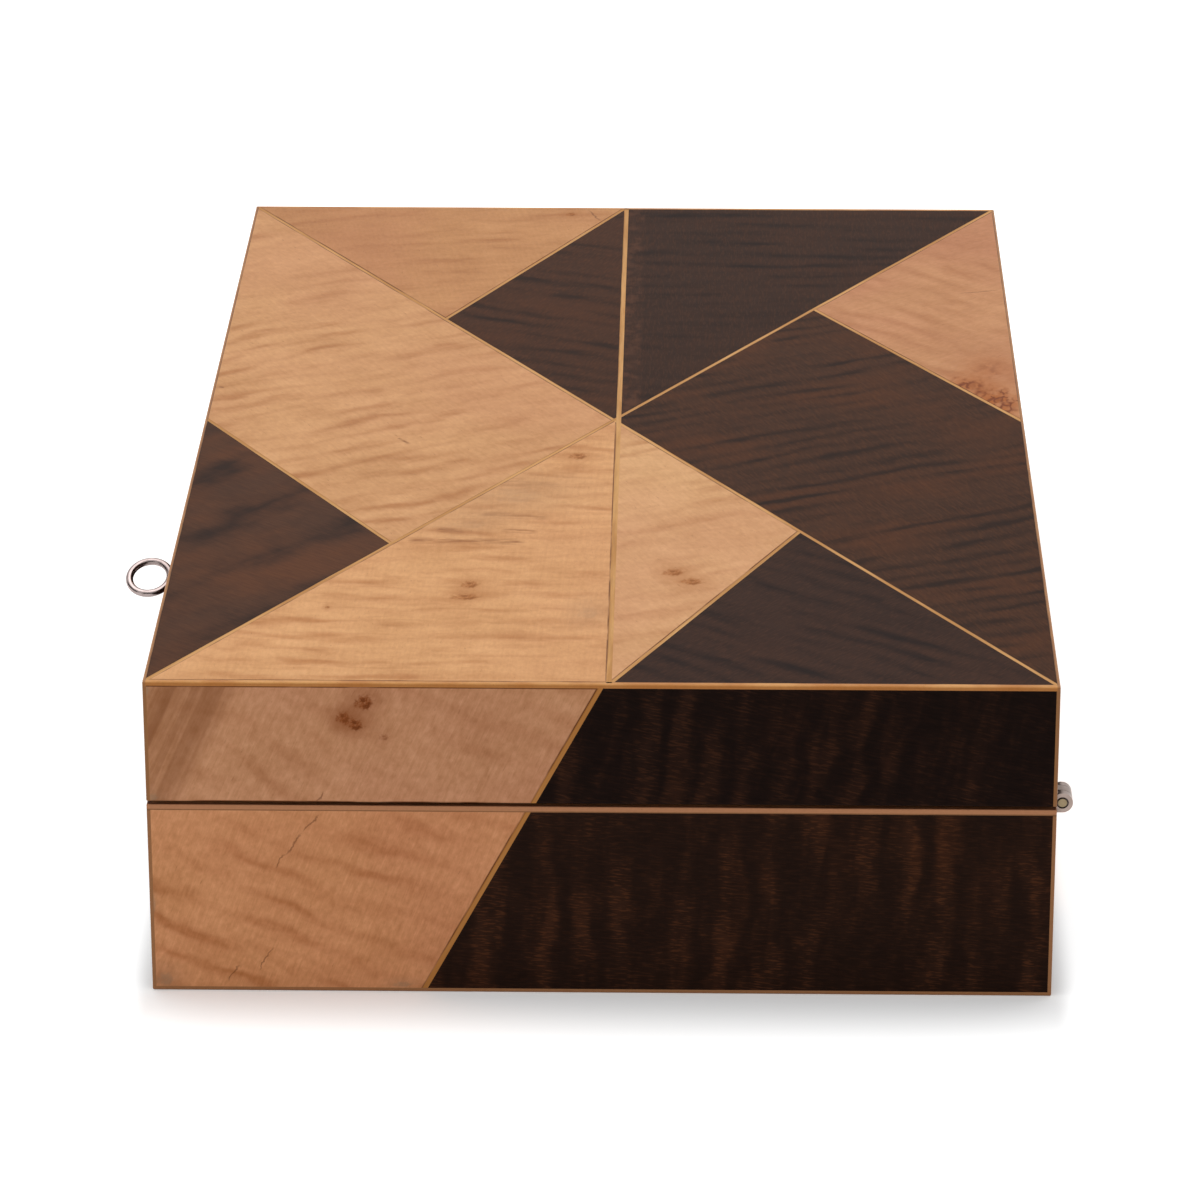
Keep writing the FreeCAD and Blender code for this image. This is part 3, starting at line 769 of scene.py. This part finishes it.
darkSheets = {
    "top_lock_corner": wood(
        50, 32, 11, bend=1, brown=1, ticks=0.1, tint=(0.86, 0.75, 0.68),
        beside=["lockShort", "rising", "lockEdge"],
    ),
    "top_near_right": wood(
        -38, 10, 12, brown=0.3, tint=(0.46, 0.42, 0.44),
        beside=["nearShort", "falling", "nearEdge"],
    ),
    "top_hinge_side": wood(
        24, 9.5, 13, brown=0.9, tint=(0.65, 0.54, 0.46),
        beside=["falling", "rising", "hingeShort", "hingeEdge"],
    ),
    "top_far_right": wood(
        0, 11, 14, brown=0.4, tint=(0.46, 0.40, 0.38),
        beside=["centre", "rising", "farEdge"],
        strip={"line": topLines["centre"], "reach": (7.5, 4.5)},
    ),
    "top_far_middle": wood(
        -22, 11, 15, brown=0.4, tint=(0.66, 0.52, 0.43),
        beside=["centre", "falling", "farShort"],
    ),
    # on the lid's near end the darker tones also hold the painted shade of the sides
    "lid_near_end": wood(78, 11, 31, tint=(0.25, 0.205, 0.2)),
    "base_near_end": wood(86, 14, 32, wave=0.85),
    "lid_far_end": wood(96, 8, 33),
    "base_far_end": wood(90, 9, 34),
    "lid_lock_side": wood(82, 9, 35),
    "base_lock_side": wood(92, 9.5, 36),
    "lid_hinge_side": wood(94, 9, 37),
    "base_hinge_side": wood(86, 9.5, 38),
}


def laySheets(ending, veneer, sheets, topUsual, sideUsual):
    for side, look in sheets.items():
        part, face = side.split("_")[:2]
        usual = sideUsual
        if part == "top":
            face = "top"
            usual = topUsual
        whole = {**usual, **look, "face": face, "beside": besideSheet(part, face, look)}
        setMaterial(veneer(side + ending, whole), side + ending)


laySheets("_pale_veneer", paleVeneer, paleSheets, paleUsual, paleUsual)
print("pale veneers coloured")
laySheets("_dark_veneer", darkVeneer, darkSheets, darkUsual, darkSideUsual)
print("dark veneers coloured")


# boxwood edging of the lid and of the base; heights in millimetres

stripLook = {
    "cloudNoise": (0.06, 4),
    "grainNoise": (0.9, 3),
    "deepIn": (0.35, 0.65),
    "shade": (0.3, 0.85),
    "worn": (0.62, 0.78, 0, 0.5),
    "long": (-0.1, 0.1, 0, 0.7),
    "patchy": (0.3, 0.6),
    "least": 0.4,
}
boxwood = {
    "light": rgb(212, 154, 94),
    "deep": rgb(190, 127, 70),
    "worn": rgb(126, 78, 42),
    # the side of the edging below its top is given a darker tone: painted shade
    "face": rgb(180, 112, 52),
    "faceHeight": (boxHeight - 0.6, boxHeight - 0.1),
    "faceDepth": 0.7,
    "post": rgb(152, 106, 66),
    "postHeight": (sheetHeights["lid"][1] - 0.3, sheetHeights["lid"][1] + 0.1),
    "postDepth": 0.8,
    "long": rgb(150, 104, 68),
    "inside": (halfWidth - lineLayout["sideEdging"], halfLength - lineLayout["endEdging"]),
    "seam": rgb(92, 54, 28),
    "seamReach": (0.5, 0.05),
    "seamDepth": 0.9,
    "finish": {"roughness": (0.3, 0.5), "specular": 0.1, "bump": (0.2, 0.0001)},
}
# the rim's light and deep tones darken its top, in the gap under the lid: painted shadow; the side tone is
# the boxwood's own colour, muted partly as painted shade under the lid
rimWoodInShade = {
    "light": rgb(132, 86, 60),
    "deep": rgb(104, 64, 42),
    "worn": rgb(96, 58, 36),
    "face": rgb(188, 130, 92),
    "faceHeight": (baseRim - 0.2, baseRim),
    "faceDepth": 0.95,
    "post": rgb(150, 104, 66),
    "postHeight": (sheetHeights["base"][1] + 0.3, sheetHeights["base"][1] + 0.5),
    "postDepth": 0.8,
    "foot": sheetHeights["base"][1],
    "seam": rgb(66, 38, 22),
    "seamReach": (0.45, 0.15),
    "seamDepth": 0.35,
    "finish": {"roughness": (0.32, 0.52), "specular": 0.1, "bump": (0.2, 0.0001)},
}


def stripWood(name, tones):
    material = newMaterial(name)
    place = inMillimetres()
    height = axesOf(place)[2]
    cloud = solidNoise(place, *stripLook["cloudNoise"])
    grain = solidNoise(place, *stripLook["grainNoise"])
    colour = mix(fade(cloud, *stripLook["deepIn"]), tones["light"], tones["deep"])
    # the side of the strip below its top, and the posts down the corners; the darker side of the lid edging
    # is painted shade, and on the rim the darker tones kept on its top are painted shadow in the gap under
    # the lid
    for region in ("face", "post"):
        low, high = tones[region + "Height"]
        colour = mix(fade(height, high, low, 0.0, tones[region + "Depth"]), colour, tones[region])
    colour = shaded(colour, grain, *stripLook["shade"])
    colour = mix(fade(grain, *stripLook["worn"]), colour, tones["worn"])
    # the glue line where the edging meets the sheet beside or below it
    if "inside" in tones:
        out = axesOf(vectorCalc("ABSOLUTE", place))
        past = [calc("SUBTRACT", out[axis], tones["inside"][axis]) for axis in (0, 1)]
        away = anyOf(past)
        colour = mix(fade(past[0], *stripLook["long"]), colour, tones["long"])
    else:
        away = calc("ABSOLUTE", calc("SUBTRACT", height, tones["foot"]))
    depth = tones["seamDepth"]
    patchy = fade(cloud, *stripLook["patchy"], stripLook["least"] * depth, depth)
    colour = mix(times(fade(away, *tones["seamReach"]), patchy), colour, tones["seam"])
    dress(colour, tones["finish"], grain, grain)
    return material


setMaterial(stripWood("lidBoxwood", boxwood), "lid_edging")
setMaterial(stripWood("rimBoxwoodInShade", rimWoodInShade), "base_edging")
print("edging coloured")


# geometry nodes: short ways to build a tree and to run it

def newGeometryTree(name, sockets):
    group = bpy.data.node_groups.new(name, "GeometryNodeTree")
    for socketName, kind in {"Geometry": "Geometry", **sockets}.items():
        group.interface.new_socket(socketName, in_out="INPUT", socket_type="NodeSocket" + kind)
    group.interface.new_socket("Geometry", in_out="OUTPUT", socket_type="NodeSocketGeometry")
    beginTree(group)
    return group, addNode("NodeGroupInput").outputs, addNode("NodeGroupOutput").inputs


def endTree(result, shape, material):
    # every tree ends in plain geometry with its material
    solid = made("GeometryNodeRealizeInstances", {"Geometry": shape})
    feeds = {"Geometry": solid, "Material": material}
    feed(result["Geometry"], made("GeometryNodeSetMaterial", feeds))


def runTree(name, carrier, group, values):
    # a plain mesh object from the tree, with its inputs set by socket identifier
    holder = linked(name + "Holder", carrier)
    modifier = holder.modifiers.new(name, "NODES")
    modifier.node_group = group
    for item in group.interface.items_tree:
        if item.in_out == "INPUT" and item.name in values:
            modifier[item.identifier] = values[item.name]
    graph = bpy.context.evaluated_depsgraph_get()
    mesh = bpy.data.meshes.new_from_object(holder.evaluated_get(graph))
    holder.modifiers.remove(modifier)
    bpy.data.objects.remove(holder)
    mesh.name = name
    return linked(name, mesh)


# inlaid lines: one thin strip for each line, with its length and width kept as attributes

inlay = {
    "depth": 0.7,
    "cells": 60,
    "sink": 0.012,      # later lines lie this much under earlier ones where they cross
    "inset": 1.2,       # how far a line stops short of the outer arris, under the edging
    "step": 0.7,        # metres between the grain of one strip and the next
    "light": rgb(208, 157, 100),
    "deep": rgb(186, 133, 78),
    # the darker tone of the lines on the sides of the box: painted shade
    "side": rgb(180, 118, 58),
    "sideBelow": (0.0006, 0.001),
    "sideDepth": 0.8,
    "glue": rgb(112, 62, 26),
    "glueEdge": (-0.22, -0.48),
    "glueDepths": (0.1, 0.6),
    "cloud": (((38.0, 2.0), 3.0), (0.34, 0.64)),
    "patchy": (((24.0, 1.2), 3.0), (0.4, 0.6)),
    "grain": ((6.0, 0.3), 3.0),
    "shade": (0.34, 0.83),
    "finish": {"roughness": (0.32, 0.52), "specular": 0.04, "bump": (0.2, 0.0001)},
}
acrossLines = ("centre", "rising", "falling")
shortLines = ("lockShort", "hingeShort", "farShort", "nearShort")
stripFields = ("start", "reach", "sideways", "inward")
upward = Vector((0.0, 0.0, 1.0))


def inlayTree():
    group, given, result = newGeometryTree("inlayStrips", {"cells": "Int", "wood": "Material"})
    bar = addNode("GeometryNodeMeshCube", {"Size": (1.0, 1.0, 1.0), "Vertices Y": given["cells"]})
    feeds = {"Points": given["Geometry"], "Instance": bar.outputs[0]}
    copies = made("GeometryNodeInstanceOnPoints", feeds)
    solid = made("GeometryNodeRealizeInstances", {"Geometry": copies})
    unit = axesOf(made("GeometryNodeInputPosition"))
    share = calc("ADD", unit[1], 0.5)
    down = calc("SUBTRACT", 0.5, unit[2])

    def carried(name, kind="FLOAT_VECTOR"):
        return made("GeometryNodeInputNamedAttribute", {"Name": name}, data_type=kind)

    length = vectorCalc("LENGTH", carried("reach"))
    along = calc("ADD", times(share, length), carried("shift", "FLOAT"))
    for name, value in (("along", along), ("across", unit[0])):
        feeds = {"Geometry": solid, "Name": name, "Value": value}
        solid = made("GeometryNodeStoreNamedAttribute", feeds, data_type="FLOAT", domain="POINT")
    point = carried("start")
    for name, amount in (("reach", share), ("sideways", unit[0]), ("inward", down)):
        point = vectorCalc("ADD", point, scaledBy(carried(name), amount))
    solid = made("GeometryNodeSetPosition", {"Geometry": solid, "Position": point})
    endTree(result, solid, given["wood"])
    return group


def topStrips():
    strips = []
    for count, name in enumerate(acrossLines + shortLines):
        line = topLines[name]
        run = (Vector(line["end"]) - Vector(line["start"])).normalized()
        start = Vector(line["start"]) + run * inlay["inset"]
        end = Vector(line["end"])
        if name in acrossLines:
            end -= run * inlay["inset"]
        height = boxHeight - inlay["sink"] * min(count, len(acrossLines))
        reach = Vector((end.x - start.x, end.y - start.y, 0.0))
        strips.append({
            "start": Vector((start.x, start.y, height)),
            "reach": reach,
            "sideways": reach.normalized().cross(upward) * line["width"],
            "inward": upward * -inlay["depth"],
        })
    return strips


def sideStrips(part):
    strips = []
    low, high = sheetHeights[part]
    outward = {"near": (0, -1, 0), "far": (0, 1, 0), "lock": (-1, 0, 0), "hinge": (1, 0, 0)}
    for face, away in outward.items():
        out = Vector(away)
        right = upward.cross(out)
        line = sideLines[face]
        slope = (line["end"][0] - line["start"][0]) / (line["end"][1] - line["start"][1])
        plane = out * (halfLength if face in ("near", "far") else halfWidth)
        start = plane + right * (line["start"][0] + slope * low) + upward * low
        end = plane + right * (line["start"][0] + slope * high) + upward * high
        strips.append({
            "start": start,
            "reach": end - start,
            "sideways": right * line["width"] * math.hypot(1.0, slope),
            "inward": -out * inlay["depth"],
        })
    return strips


def inlayWood():
    # boxwood that knows how far along and across the strip it is
    material = newMaterial("inlaidBoxwood")
    along = addNode("ShaderNodeAttribute", attribute_name="along").outputs["Fac"]
    across = addNode("ShaderNodeAttribute", attribute_name="across").outputs["Fac"]
    place = joined(times(along, perMetre), across)
    grain = noise(place, *inlay["grain"])
    colour = mix(faded(place, inlay["cloud"]), inlay["light"], inlay["deep"])
    colour = shaded(colour, grain, *inlay["shade"])
    # the lines on the sides of the box are given a darker tone than those on the top: painted shade
    height = axesOf(objectPlace())[2]
    high, low = [boxHeight / perMetre - below for below in inlay["sideBelow"]]
    colour = mix(fade(height, high, low, 0.0, inlay["sideDepth"]), colour, inlay["side"])
    # the joint shows dark along one side of the strip
    edge = fade(across, *inlay["glueEdge"])
    patchy = faded(place, inlay["patchy"], *inlay["glueDepths"])
    colour = mix(times(edge, patchy), colour, inlay["glue"])
    dress(colour, inlay["finish"], grain, grain)
    return material


def layInlay(name, strips, group, wood):
    carrier = bpy.data.meshes.new(name + "Carrier")
    carrier.from_pydata([(0.0, 0.0, 0.0)] * len(strips), [], [])
    for field in stripFields:
        kept = carrier.attributes.new(field, "FLOAT_VECTOR", "POINT")
        for count, strip in enumerate(strips):
            kept.data[count].vector = strip[field] / perMetre
    shift = carrier.attributes.new("shift", "FLOAT", "POINT")
    for count in range(len(strips)):
        shift.data[count].value = count * inlay["step"]
    piece = runTree(name, carrier, group, {"cells": inlay["cells"], "wood": wood})
    for field in stripFields + ("shift",):
        piece.data.attributes.remove(piece.data.attributes[field])
    return piece


stripTree = inlayTree()
inlaidWood = inlayWood()
lidLines = layInlay("lid_inlaid_lines", topStrips() + sideStrips("lid"), stripTree, inlaidWood)
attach(lidLines, "lid")
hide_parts("top_lines", "lid_side_lines")
baseLines = layInlay("base_inlaid_lines", sideStrips("base"), stripTree, inlaidWood)
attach(baseLines, "base")
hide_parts("base_side_lines")
print("inlaid lines laid,", len(lidLines.data.polygons) + len(baseLines.data.polygons), "faces")


# carcass boards, drawn out along the grain, and the suede lining

carcass = {
    "light": rgb(176, 132, 92),
    "deep": rgb(140, 98, 64),
    "broadNoise": (0.25, 3, 0.5, 0.4),
    "fineNoise": (2.4, 2),
    "deepIn": (0.3, 0.7),
    "shade": (0.35, 0.82),
    "sheen": 0,
    "finish": {"roughness": (0.45, 0.65), "specular": 0.1, "bump": (0.3, 0.0002)},
}
grainAcross = (28, 520, 520)
grainAlong = (520, 28, 520)
suede = {
    "light": rgb(70, 47, 38),
    "deep": rgb(58, 38, 30),
    "broadNoise": (28, 4),
    "fineNoise": (1400, 2),
    "deepIn": (0.35, 0.68),
    "shade": (0.8, 0.6),
    "sheen": 0.25,
    "finish": {"roughness": (0.85, 0.95), "specular": 0.1, "bump": (0.5, 0.0003)},
}


def twoTone(name, tones, stretch=(1, 1, 1)):
    # two tones in broad clouds, with a fine grain or nap
    material = newMaterial(name)
    place = vectorCalc("MULTIPLY", objectPlace(), stretch)
    broad = solidNoise(place, *tones["broadNoise"])
    fine = solidNoise(place, *tones["fineNoise"])
    colour = mix(fade(broad, *tones["deepIn"]), tones["light"], tones["deep"])
    colour = shaded(colour, fine, *tones["shade"])
    feedShader({"Sheen Weight": tones["sheen"]})
    dress(colour, tones["finish"], fine, fine)
    return material


setMaterial(twoTone("boardAcross", carcass, grainAcross), "_end_wall")
setMaterial(twoTone("boardAlong", carcass, grainAlong), "_side_wall", "base_floor", "lid_top_board")
setMaterial(twoTone("suedeLining", suede), "_lining", "_pad")
print("boards and lining coloured")


# metal

metalLook = {
    "hazeNoise": (160, 4),
    "dullIn": (0.4, 0.75),
    "scratchNoise": (1, 2),
    "scratchStretch": (3000, 260, 3000),
    "roughnessSpan": (-0.06, 0.10),
    "specular": 0.5,
    "bump": (0.06, 0.00005),
}
pinRing = {
    "inner": 0.0013,
    "outer": 0.002,
    "soft": 0.6,
    "patchy": (0.38, 0.56, 0.45, 0.95),
    "colour": rgb(34, 26, 22),
}
nickel = {"colour": rgb(166, 151, 148), "dull": rgb(130, 115, 111), "roughness": 0.16}
hingeMetal = {"colour": rgb(158, 141, 133), "dull": rgb(134, 117, 108), "roughness": 0.36, "ringed": True}
pinMetal = {"colour": rgb(136, 120, 94), "dull": rgb(106, 92, 70), "roughness": 0.3, "ringed": True}
brass = {"colour": rgb(214, 178, 112), "dull": rgb(168, 132, 76), "roughness": 0.3}
steel = {"colour": rgb(190, 186, 182), "dull": rgb(150, 146, 142), "roughness": 0.28}


def addPinRing(colour, place, haze):
    # a patchy dark ring round the hinge pin
    middle = (pinRing["inner"] + pinRing["outer"]) / 2
    half = (pinRing["outer"] - pinRing["inner"]) / 2
    apart = vectorCalc("SUBTRACT", place, (hingeAxis[0], 0.0, hingeAxis[2]))
    apart = vectorCalc("MULTIPLY", apart, (1.0, 0.0, 1.0))
    off = calc("SUBTRACT", vectorCalc("LENGTH", apart), middle)
    ring = fade(calc("ABSOLUTE", off), half, half * pinRing["soft"])
    kept = times(ring, fade(haze, *pinRing["patchy"]))
    return mix(kept, colour, pinRing["colour"])


def wornMetal(name, tones):
    material = newMaterial(name)
    place = objectPlace()
    haze = solidNoise(place, *metalLook["hazeNoise"])
    drawn = vectorCalc("MULTIPLY", place, metalLook["scratchStretch"])
    scratch = solidNoise(drawn, *metalLook["scratchNoise"])
    colour = mix(fade(haze, *metalLook["dullIn"]), tones["colour"], tones["dull"])
    if tones.get("ringed"):
        colour = addPinRing(colour, place, haze)
    feedShader({"Metallic": 1.0})
    span = [tones["roughness"] + more for more in metalLook["roughnessSpan"]]
    dress(colour, {**metalLook, "roughness": span}, haze, scratch)
    return material


setMaterial(wornMetal("hingeNickel", hingeMetal), "_leaf")
setMaterial(wornMetal("pinNickel", pinMetal), "hinge_pins")
setMaterial(wornMetal("polishedNickel", nickel), "keyhole_escutcheon", "key")
setMaterial(wornMetal("satinBrass", brass), "_plate", "_case", "_bolt", "_staple")
print("metal coloured")


# countersunk screws, each slot turned its own way; millimetres

screwSizes = {
    "headRadius": 2.2,
    "headDepth": 1.2,
    "shankRadius": 1.1,
    "length": 10.0,
    "slotWidth": 0.6,
    "slotDepth": 0.5,
}
screwMake = {
    "headSides": 40,
    "shankSides": 24,
    "shankDrop": 0.0001,    # metres that the shank starts below the head's face
    "slotReach": 3.0,       # slot length for one head radius
    "leafSteps": (7.0, 20.0),
    "plateInset": 4.5,
    "baseSeed": 3,
    "lidSeed": 7,
}


def screwTree():
    sockets = {size: "Float" for size in screwSizes}
    sockets.update({"flip": "Float", "seed": "Int", "metal": "Material"})
    group, given, result = newGeometryTree("slottedScrews", sockets)

    def moved(shape, lift):
        feeds = {"Geometry": shape, "Translation": joined(z=lift)}
        return made("GeometryNodeTransform", feeds)

    feeds = {
        "Vertices": screwMake["headSides"],
        "Radius Top": given["headRadius"],
        "Radius Bottom": given["shankRadius"],
        "Depth": given["headDepth"],
    }
    head = made("GeometryNodeMeshCone", feeds)
    head = moved(head, times(given["headDepth"], -1.0))
    feeds = {"Vertices": screwMake["shankSides"], "Radius": given["shankRadius"], "Depth": given["length"]}
    shank = made("GeometryNodeMeshCylinder", feeds)
    shank = moved(shank, scaleAdd(given["length"], -0.5, -screwMake["shankDrop"]))
    whole = addNode("GeometryNodeMeshBoolean", operation="UNION", solver="EXACT")
    for shape in (head, shank):
        feed(whole.inputs[1], shape)
    wide = times(given["headRadius"], screwMake["slotReach"])
    tall = times(given["slotDepth"], 2.0)
    slot = made("GeometryNodeMeshCube", {"Size": joined(wide, given["slotWidth"], tall)})
    feeds = {0: whole.outputs[0]}
    cut = addNode("GeometryNodeMeshBoolean", feeds, operation="DIFFERENCE", solver="EXACT")
    feed(cut.inputs[1], slot)
    spin = addNode("FunctionNodeRandomValue", {2: 0.0, 3: 2 * math.pi}, data_type="FLOAT")
    feed(spin.inputs["Seed"], given["seed"])
    turn = joined(x=given["flip"], z=spin.outputs[1])
    feeds = {"Points": given["Geometry"], "Instance": cut.outputs[0], "Rotation": turn}
    copies = made("GeometryNodeInstanceOnPoints", feeds)
    endTree(result, copies, given["metal"])
    return group


def leafSpots():
    # two screws along each hinge leaf, counted from its inner end
    spots = []
    for end in ("near", "far"):
        leaf = end + "_hinge_base_leaf"
        inner = spanOf(leaf, 0)[0]
        middle = sum(spanOf(leaf, 1)) / 2
        spots.extend((inner + step, middle) for step in screwMake["leafSteps"])
    return spots


def plateSpots(plate):
    # one screw near each end of a lock plate
    middle = sum(spanOf(plate, 0)) / 2
    low, high = spanOf(plate, 1)
    return [(middle, low + screwMake["plateInset"]), (middle, high - screwMake["plateInset"])]


def driveScrews(name, spots, rim, flip, seed, group, metal):
    carrier = bpy.data.meshes.new(name + "Carrier")
    carrier.from_pydata([(x / perMetre, y / perMetre, rim / perMetre) for x, y in spots], [], [])
    values = {size: value / perMetre for size, value in screwSizes.items()}
    values.update({"flip": flip, "seed": seed, "metal": metal})
    return runTree(name, carrier, group, values)


turnedSteel = wornMetal("turnedSteel", steel)
slottedScrews = screwTree()
baseSpots = leafSpots() + plateSpots("lock_plate")
baseSeed = screwMake["baseSeed"]
baseScrews = driveScrews("base_slotted_screws", baseSpots, baseRim, 0.0, baseSeed, slottedScrews, turnedSteel)
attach(baseScrews, "base")
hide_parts("base_screws")
lidSpots = leafSpots() + plateSpots("link_plate")
lidSeed = screwMake["lidSeed"]
lidScrews = driveScrews("lid_slotted_screws", lidSpots, lidRim, math.pi, lidSeed, slottedScrews, turnedSteel)
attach(lidScrews, "lid")
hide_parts("lid_screws")
print("screws driven,", len(baseScrews.data.polygons) + len(lidScrews.data.polygons), "faces")


# studio: floor, light and camera, in metres

studio = {
    "floorHalf": 30.0,
    "floorColour": (0.96, 0.96, 0.96, 1.0),
    "floorRoughness": 0.9,
    # the floor's glow for the camera next to the box and a little way off: painted light
    "floorLift": (0.09, 0.52),
    "liftReach": 0.048,
    "sideStretch": (5.0, 1.0, 1.0),
    "footprint": (halfWidth / perMetre, halfLength / perMetre, 0.0),
    "white": (1.0, 1.0, 1.0, 1.0),
    "skyLevel": 0.48,
    "lampPlace": (-0.2, 0.1, 2.4),
    "lampAim": (0.0, 0.0, 0.05),
    "lampSize": 2.4,
    "lampPower": 36.0,
}
cardColour = (0.03, 0.03, 0.03, 1.0)
darkCards = {
    "behindCamera": {"place": (0.0, -3.2, 1.0), "size": (4.0, 1.6), "turn": (90.0, 0.0, 0.0)},
    "besideLock": {"place": (-1.6, -0.4, 0.6), "size": (1.6, 0.9), "turn": (90.0, 0.0, 90.0)},
}
lens = {
    "place": (0.03261, -1.81656, 0.78395),
    "right": (0.9998, 0.019939, -0.001747),
    "up": (-0.005958, 0.379798, 0.92505),
    "ahead": (-0.019108, 0.924855, -0.37984),
    "focal": 170.0,
    "sensor": 36.0,
    "farthest": 100.0,
}


def seenDirectly():
    # 1 for what the camera sees, also by way of metal and glass
    ray = addNode("ShaderNodeLightPath").outputs
    return anyOf([ray[kind] for kind in ("Is Camera Ray", "Is Glossy Ray", "Is Transmission Ray")])


def flatSheet(name, halfWide, halfTall, material):
    mesh = bpy.data.meshes.new(name)
    corners = [(x * halfWide, y * halfTall, 0.0) for x, y in ((-1, -1), (1, -1), (1, 1), (-1, 1))]
    mesh.from_pydata(corners, [], [(0, 1, 2, 3)])
    mesh.materials.append(material)
    return linked(name, mesh)


def layFloor():
    material = newMaterial("paleFloor")
    # the floor whitens a little way off from the box, sooner beside it than before it: a painted glow that
    # lifts out the box's shadow
    past = vectorCalc("ABSOLUTE", objectPlace())
    past = vectorCalc("SUBTRACT", past, studio["footprint"])
    past = vectorCalc("MAXIMUM", past)
    past = vectorCalc("MULTIPLY", past, studio["sideStretch"])
    lift = fade(vectorCalc("LENGTH", past), 0.0, studio["liftReach"], *studio["floorLift"])
    feedShader({
        "Base Color": studio["floorColour"],
        "Roughness": studio["floorRoughness"],
        "Specular IOR Level": 0.0,
        "Emission Color": studio["white"],
        "Emission Strength": times(lift, seenDirectly()),
    })
    floor = flatSheet("floor", studio["floorHalf"], studio["floorHalf"], material)


def hangCards():
    # dark cards that only polished metal and gloss can see
    material = newMaterial("darkCard")
    feedShader({"Base Color": cardColour, "Roughness": 1.0})
    for name, card in darkCards.items():
        wide, tall = card["size"]
        hung = flatSheet(name, wide / 2, tall / 2, material)
        hung.location = card["place"]
        hung.rotation_euler = [math.radians(angle) for angle in card["turn"]]
        hung.visible_camera = False
        hung.visible_diffuse = False
        hung.visible_shadow = False


def lightStudio():
    world = bpy.data.worlds.new("studio")
    bpy.context.scene.world = world
    world.use_nodes = True
    beginTree(world.node_tree)
    level = fade(seenDirectly(), 0.0, 1.0, studio["skyLevel"], 1.0)
    feedAll(tree.nodes["Background"], {"Color": studio["white"], "Strength": level})
    lamp = bpy.data.lights.new("overhead", "AREA")
    lamp.size = studio["lampSize"]
    lamp.energy = studio["lampPower"]
    overhead = linked("overhead", lamp)
    overhead.location = studio["lampPlace"]
    aim = Vector(studio["lampAim"]) - Vector(studio["lampPlace"])
    overhead.rotation_euler = aim.to_track_quat("-Z", "Y").to_euler()


def setCamera():
    camera = linked("camera", bpy.data.cameras.new("camera"))
    camera.data.lens = lens["focal"]
    camera.data.sensor_width = lens["sensor"]
    camera.data.clip_end = lens["farthest"]
    back = -Vector(lens["ahead"])
    turn = Matrix((lens["right"], lens["up"], back)).transposed().to_4x4()
    camera.matrix_world = Matrix.Translation(lens["place"]) @ turn
    bpy.context.scene.camera = camera


layFloor()
hangCards()
lightStudio()
setCamera()
bpy.context.scene.view_settings.view_transform = "Standard"
print("studio ready")
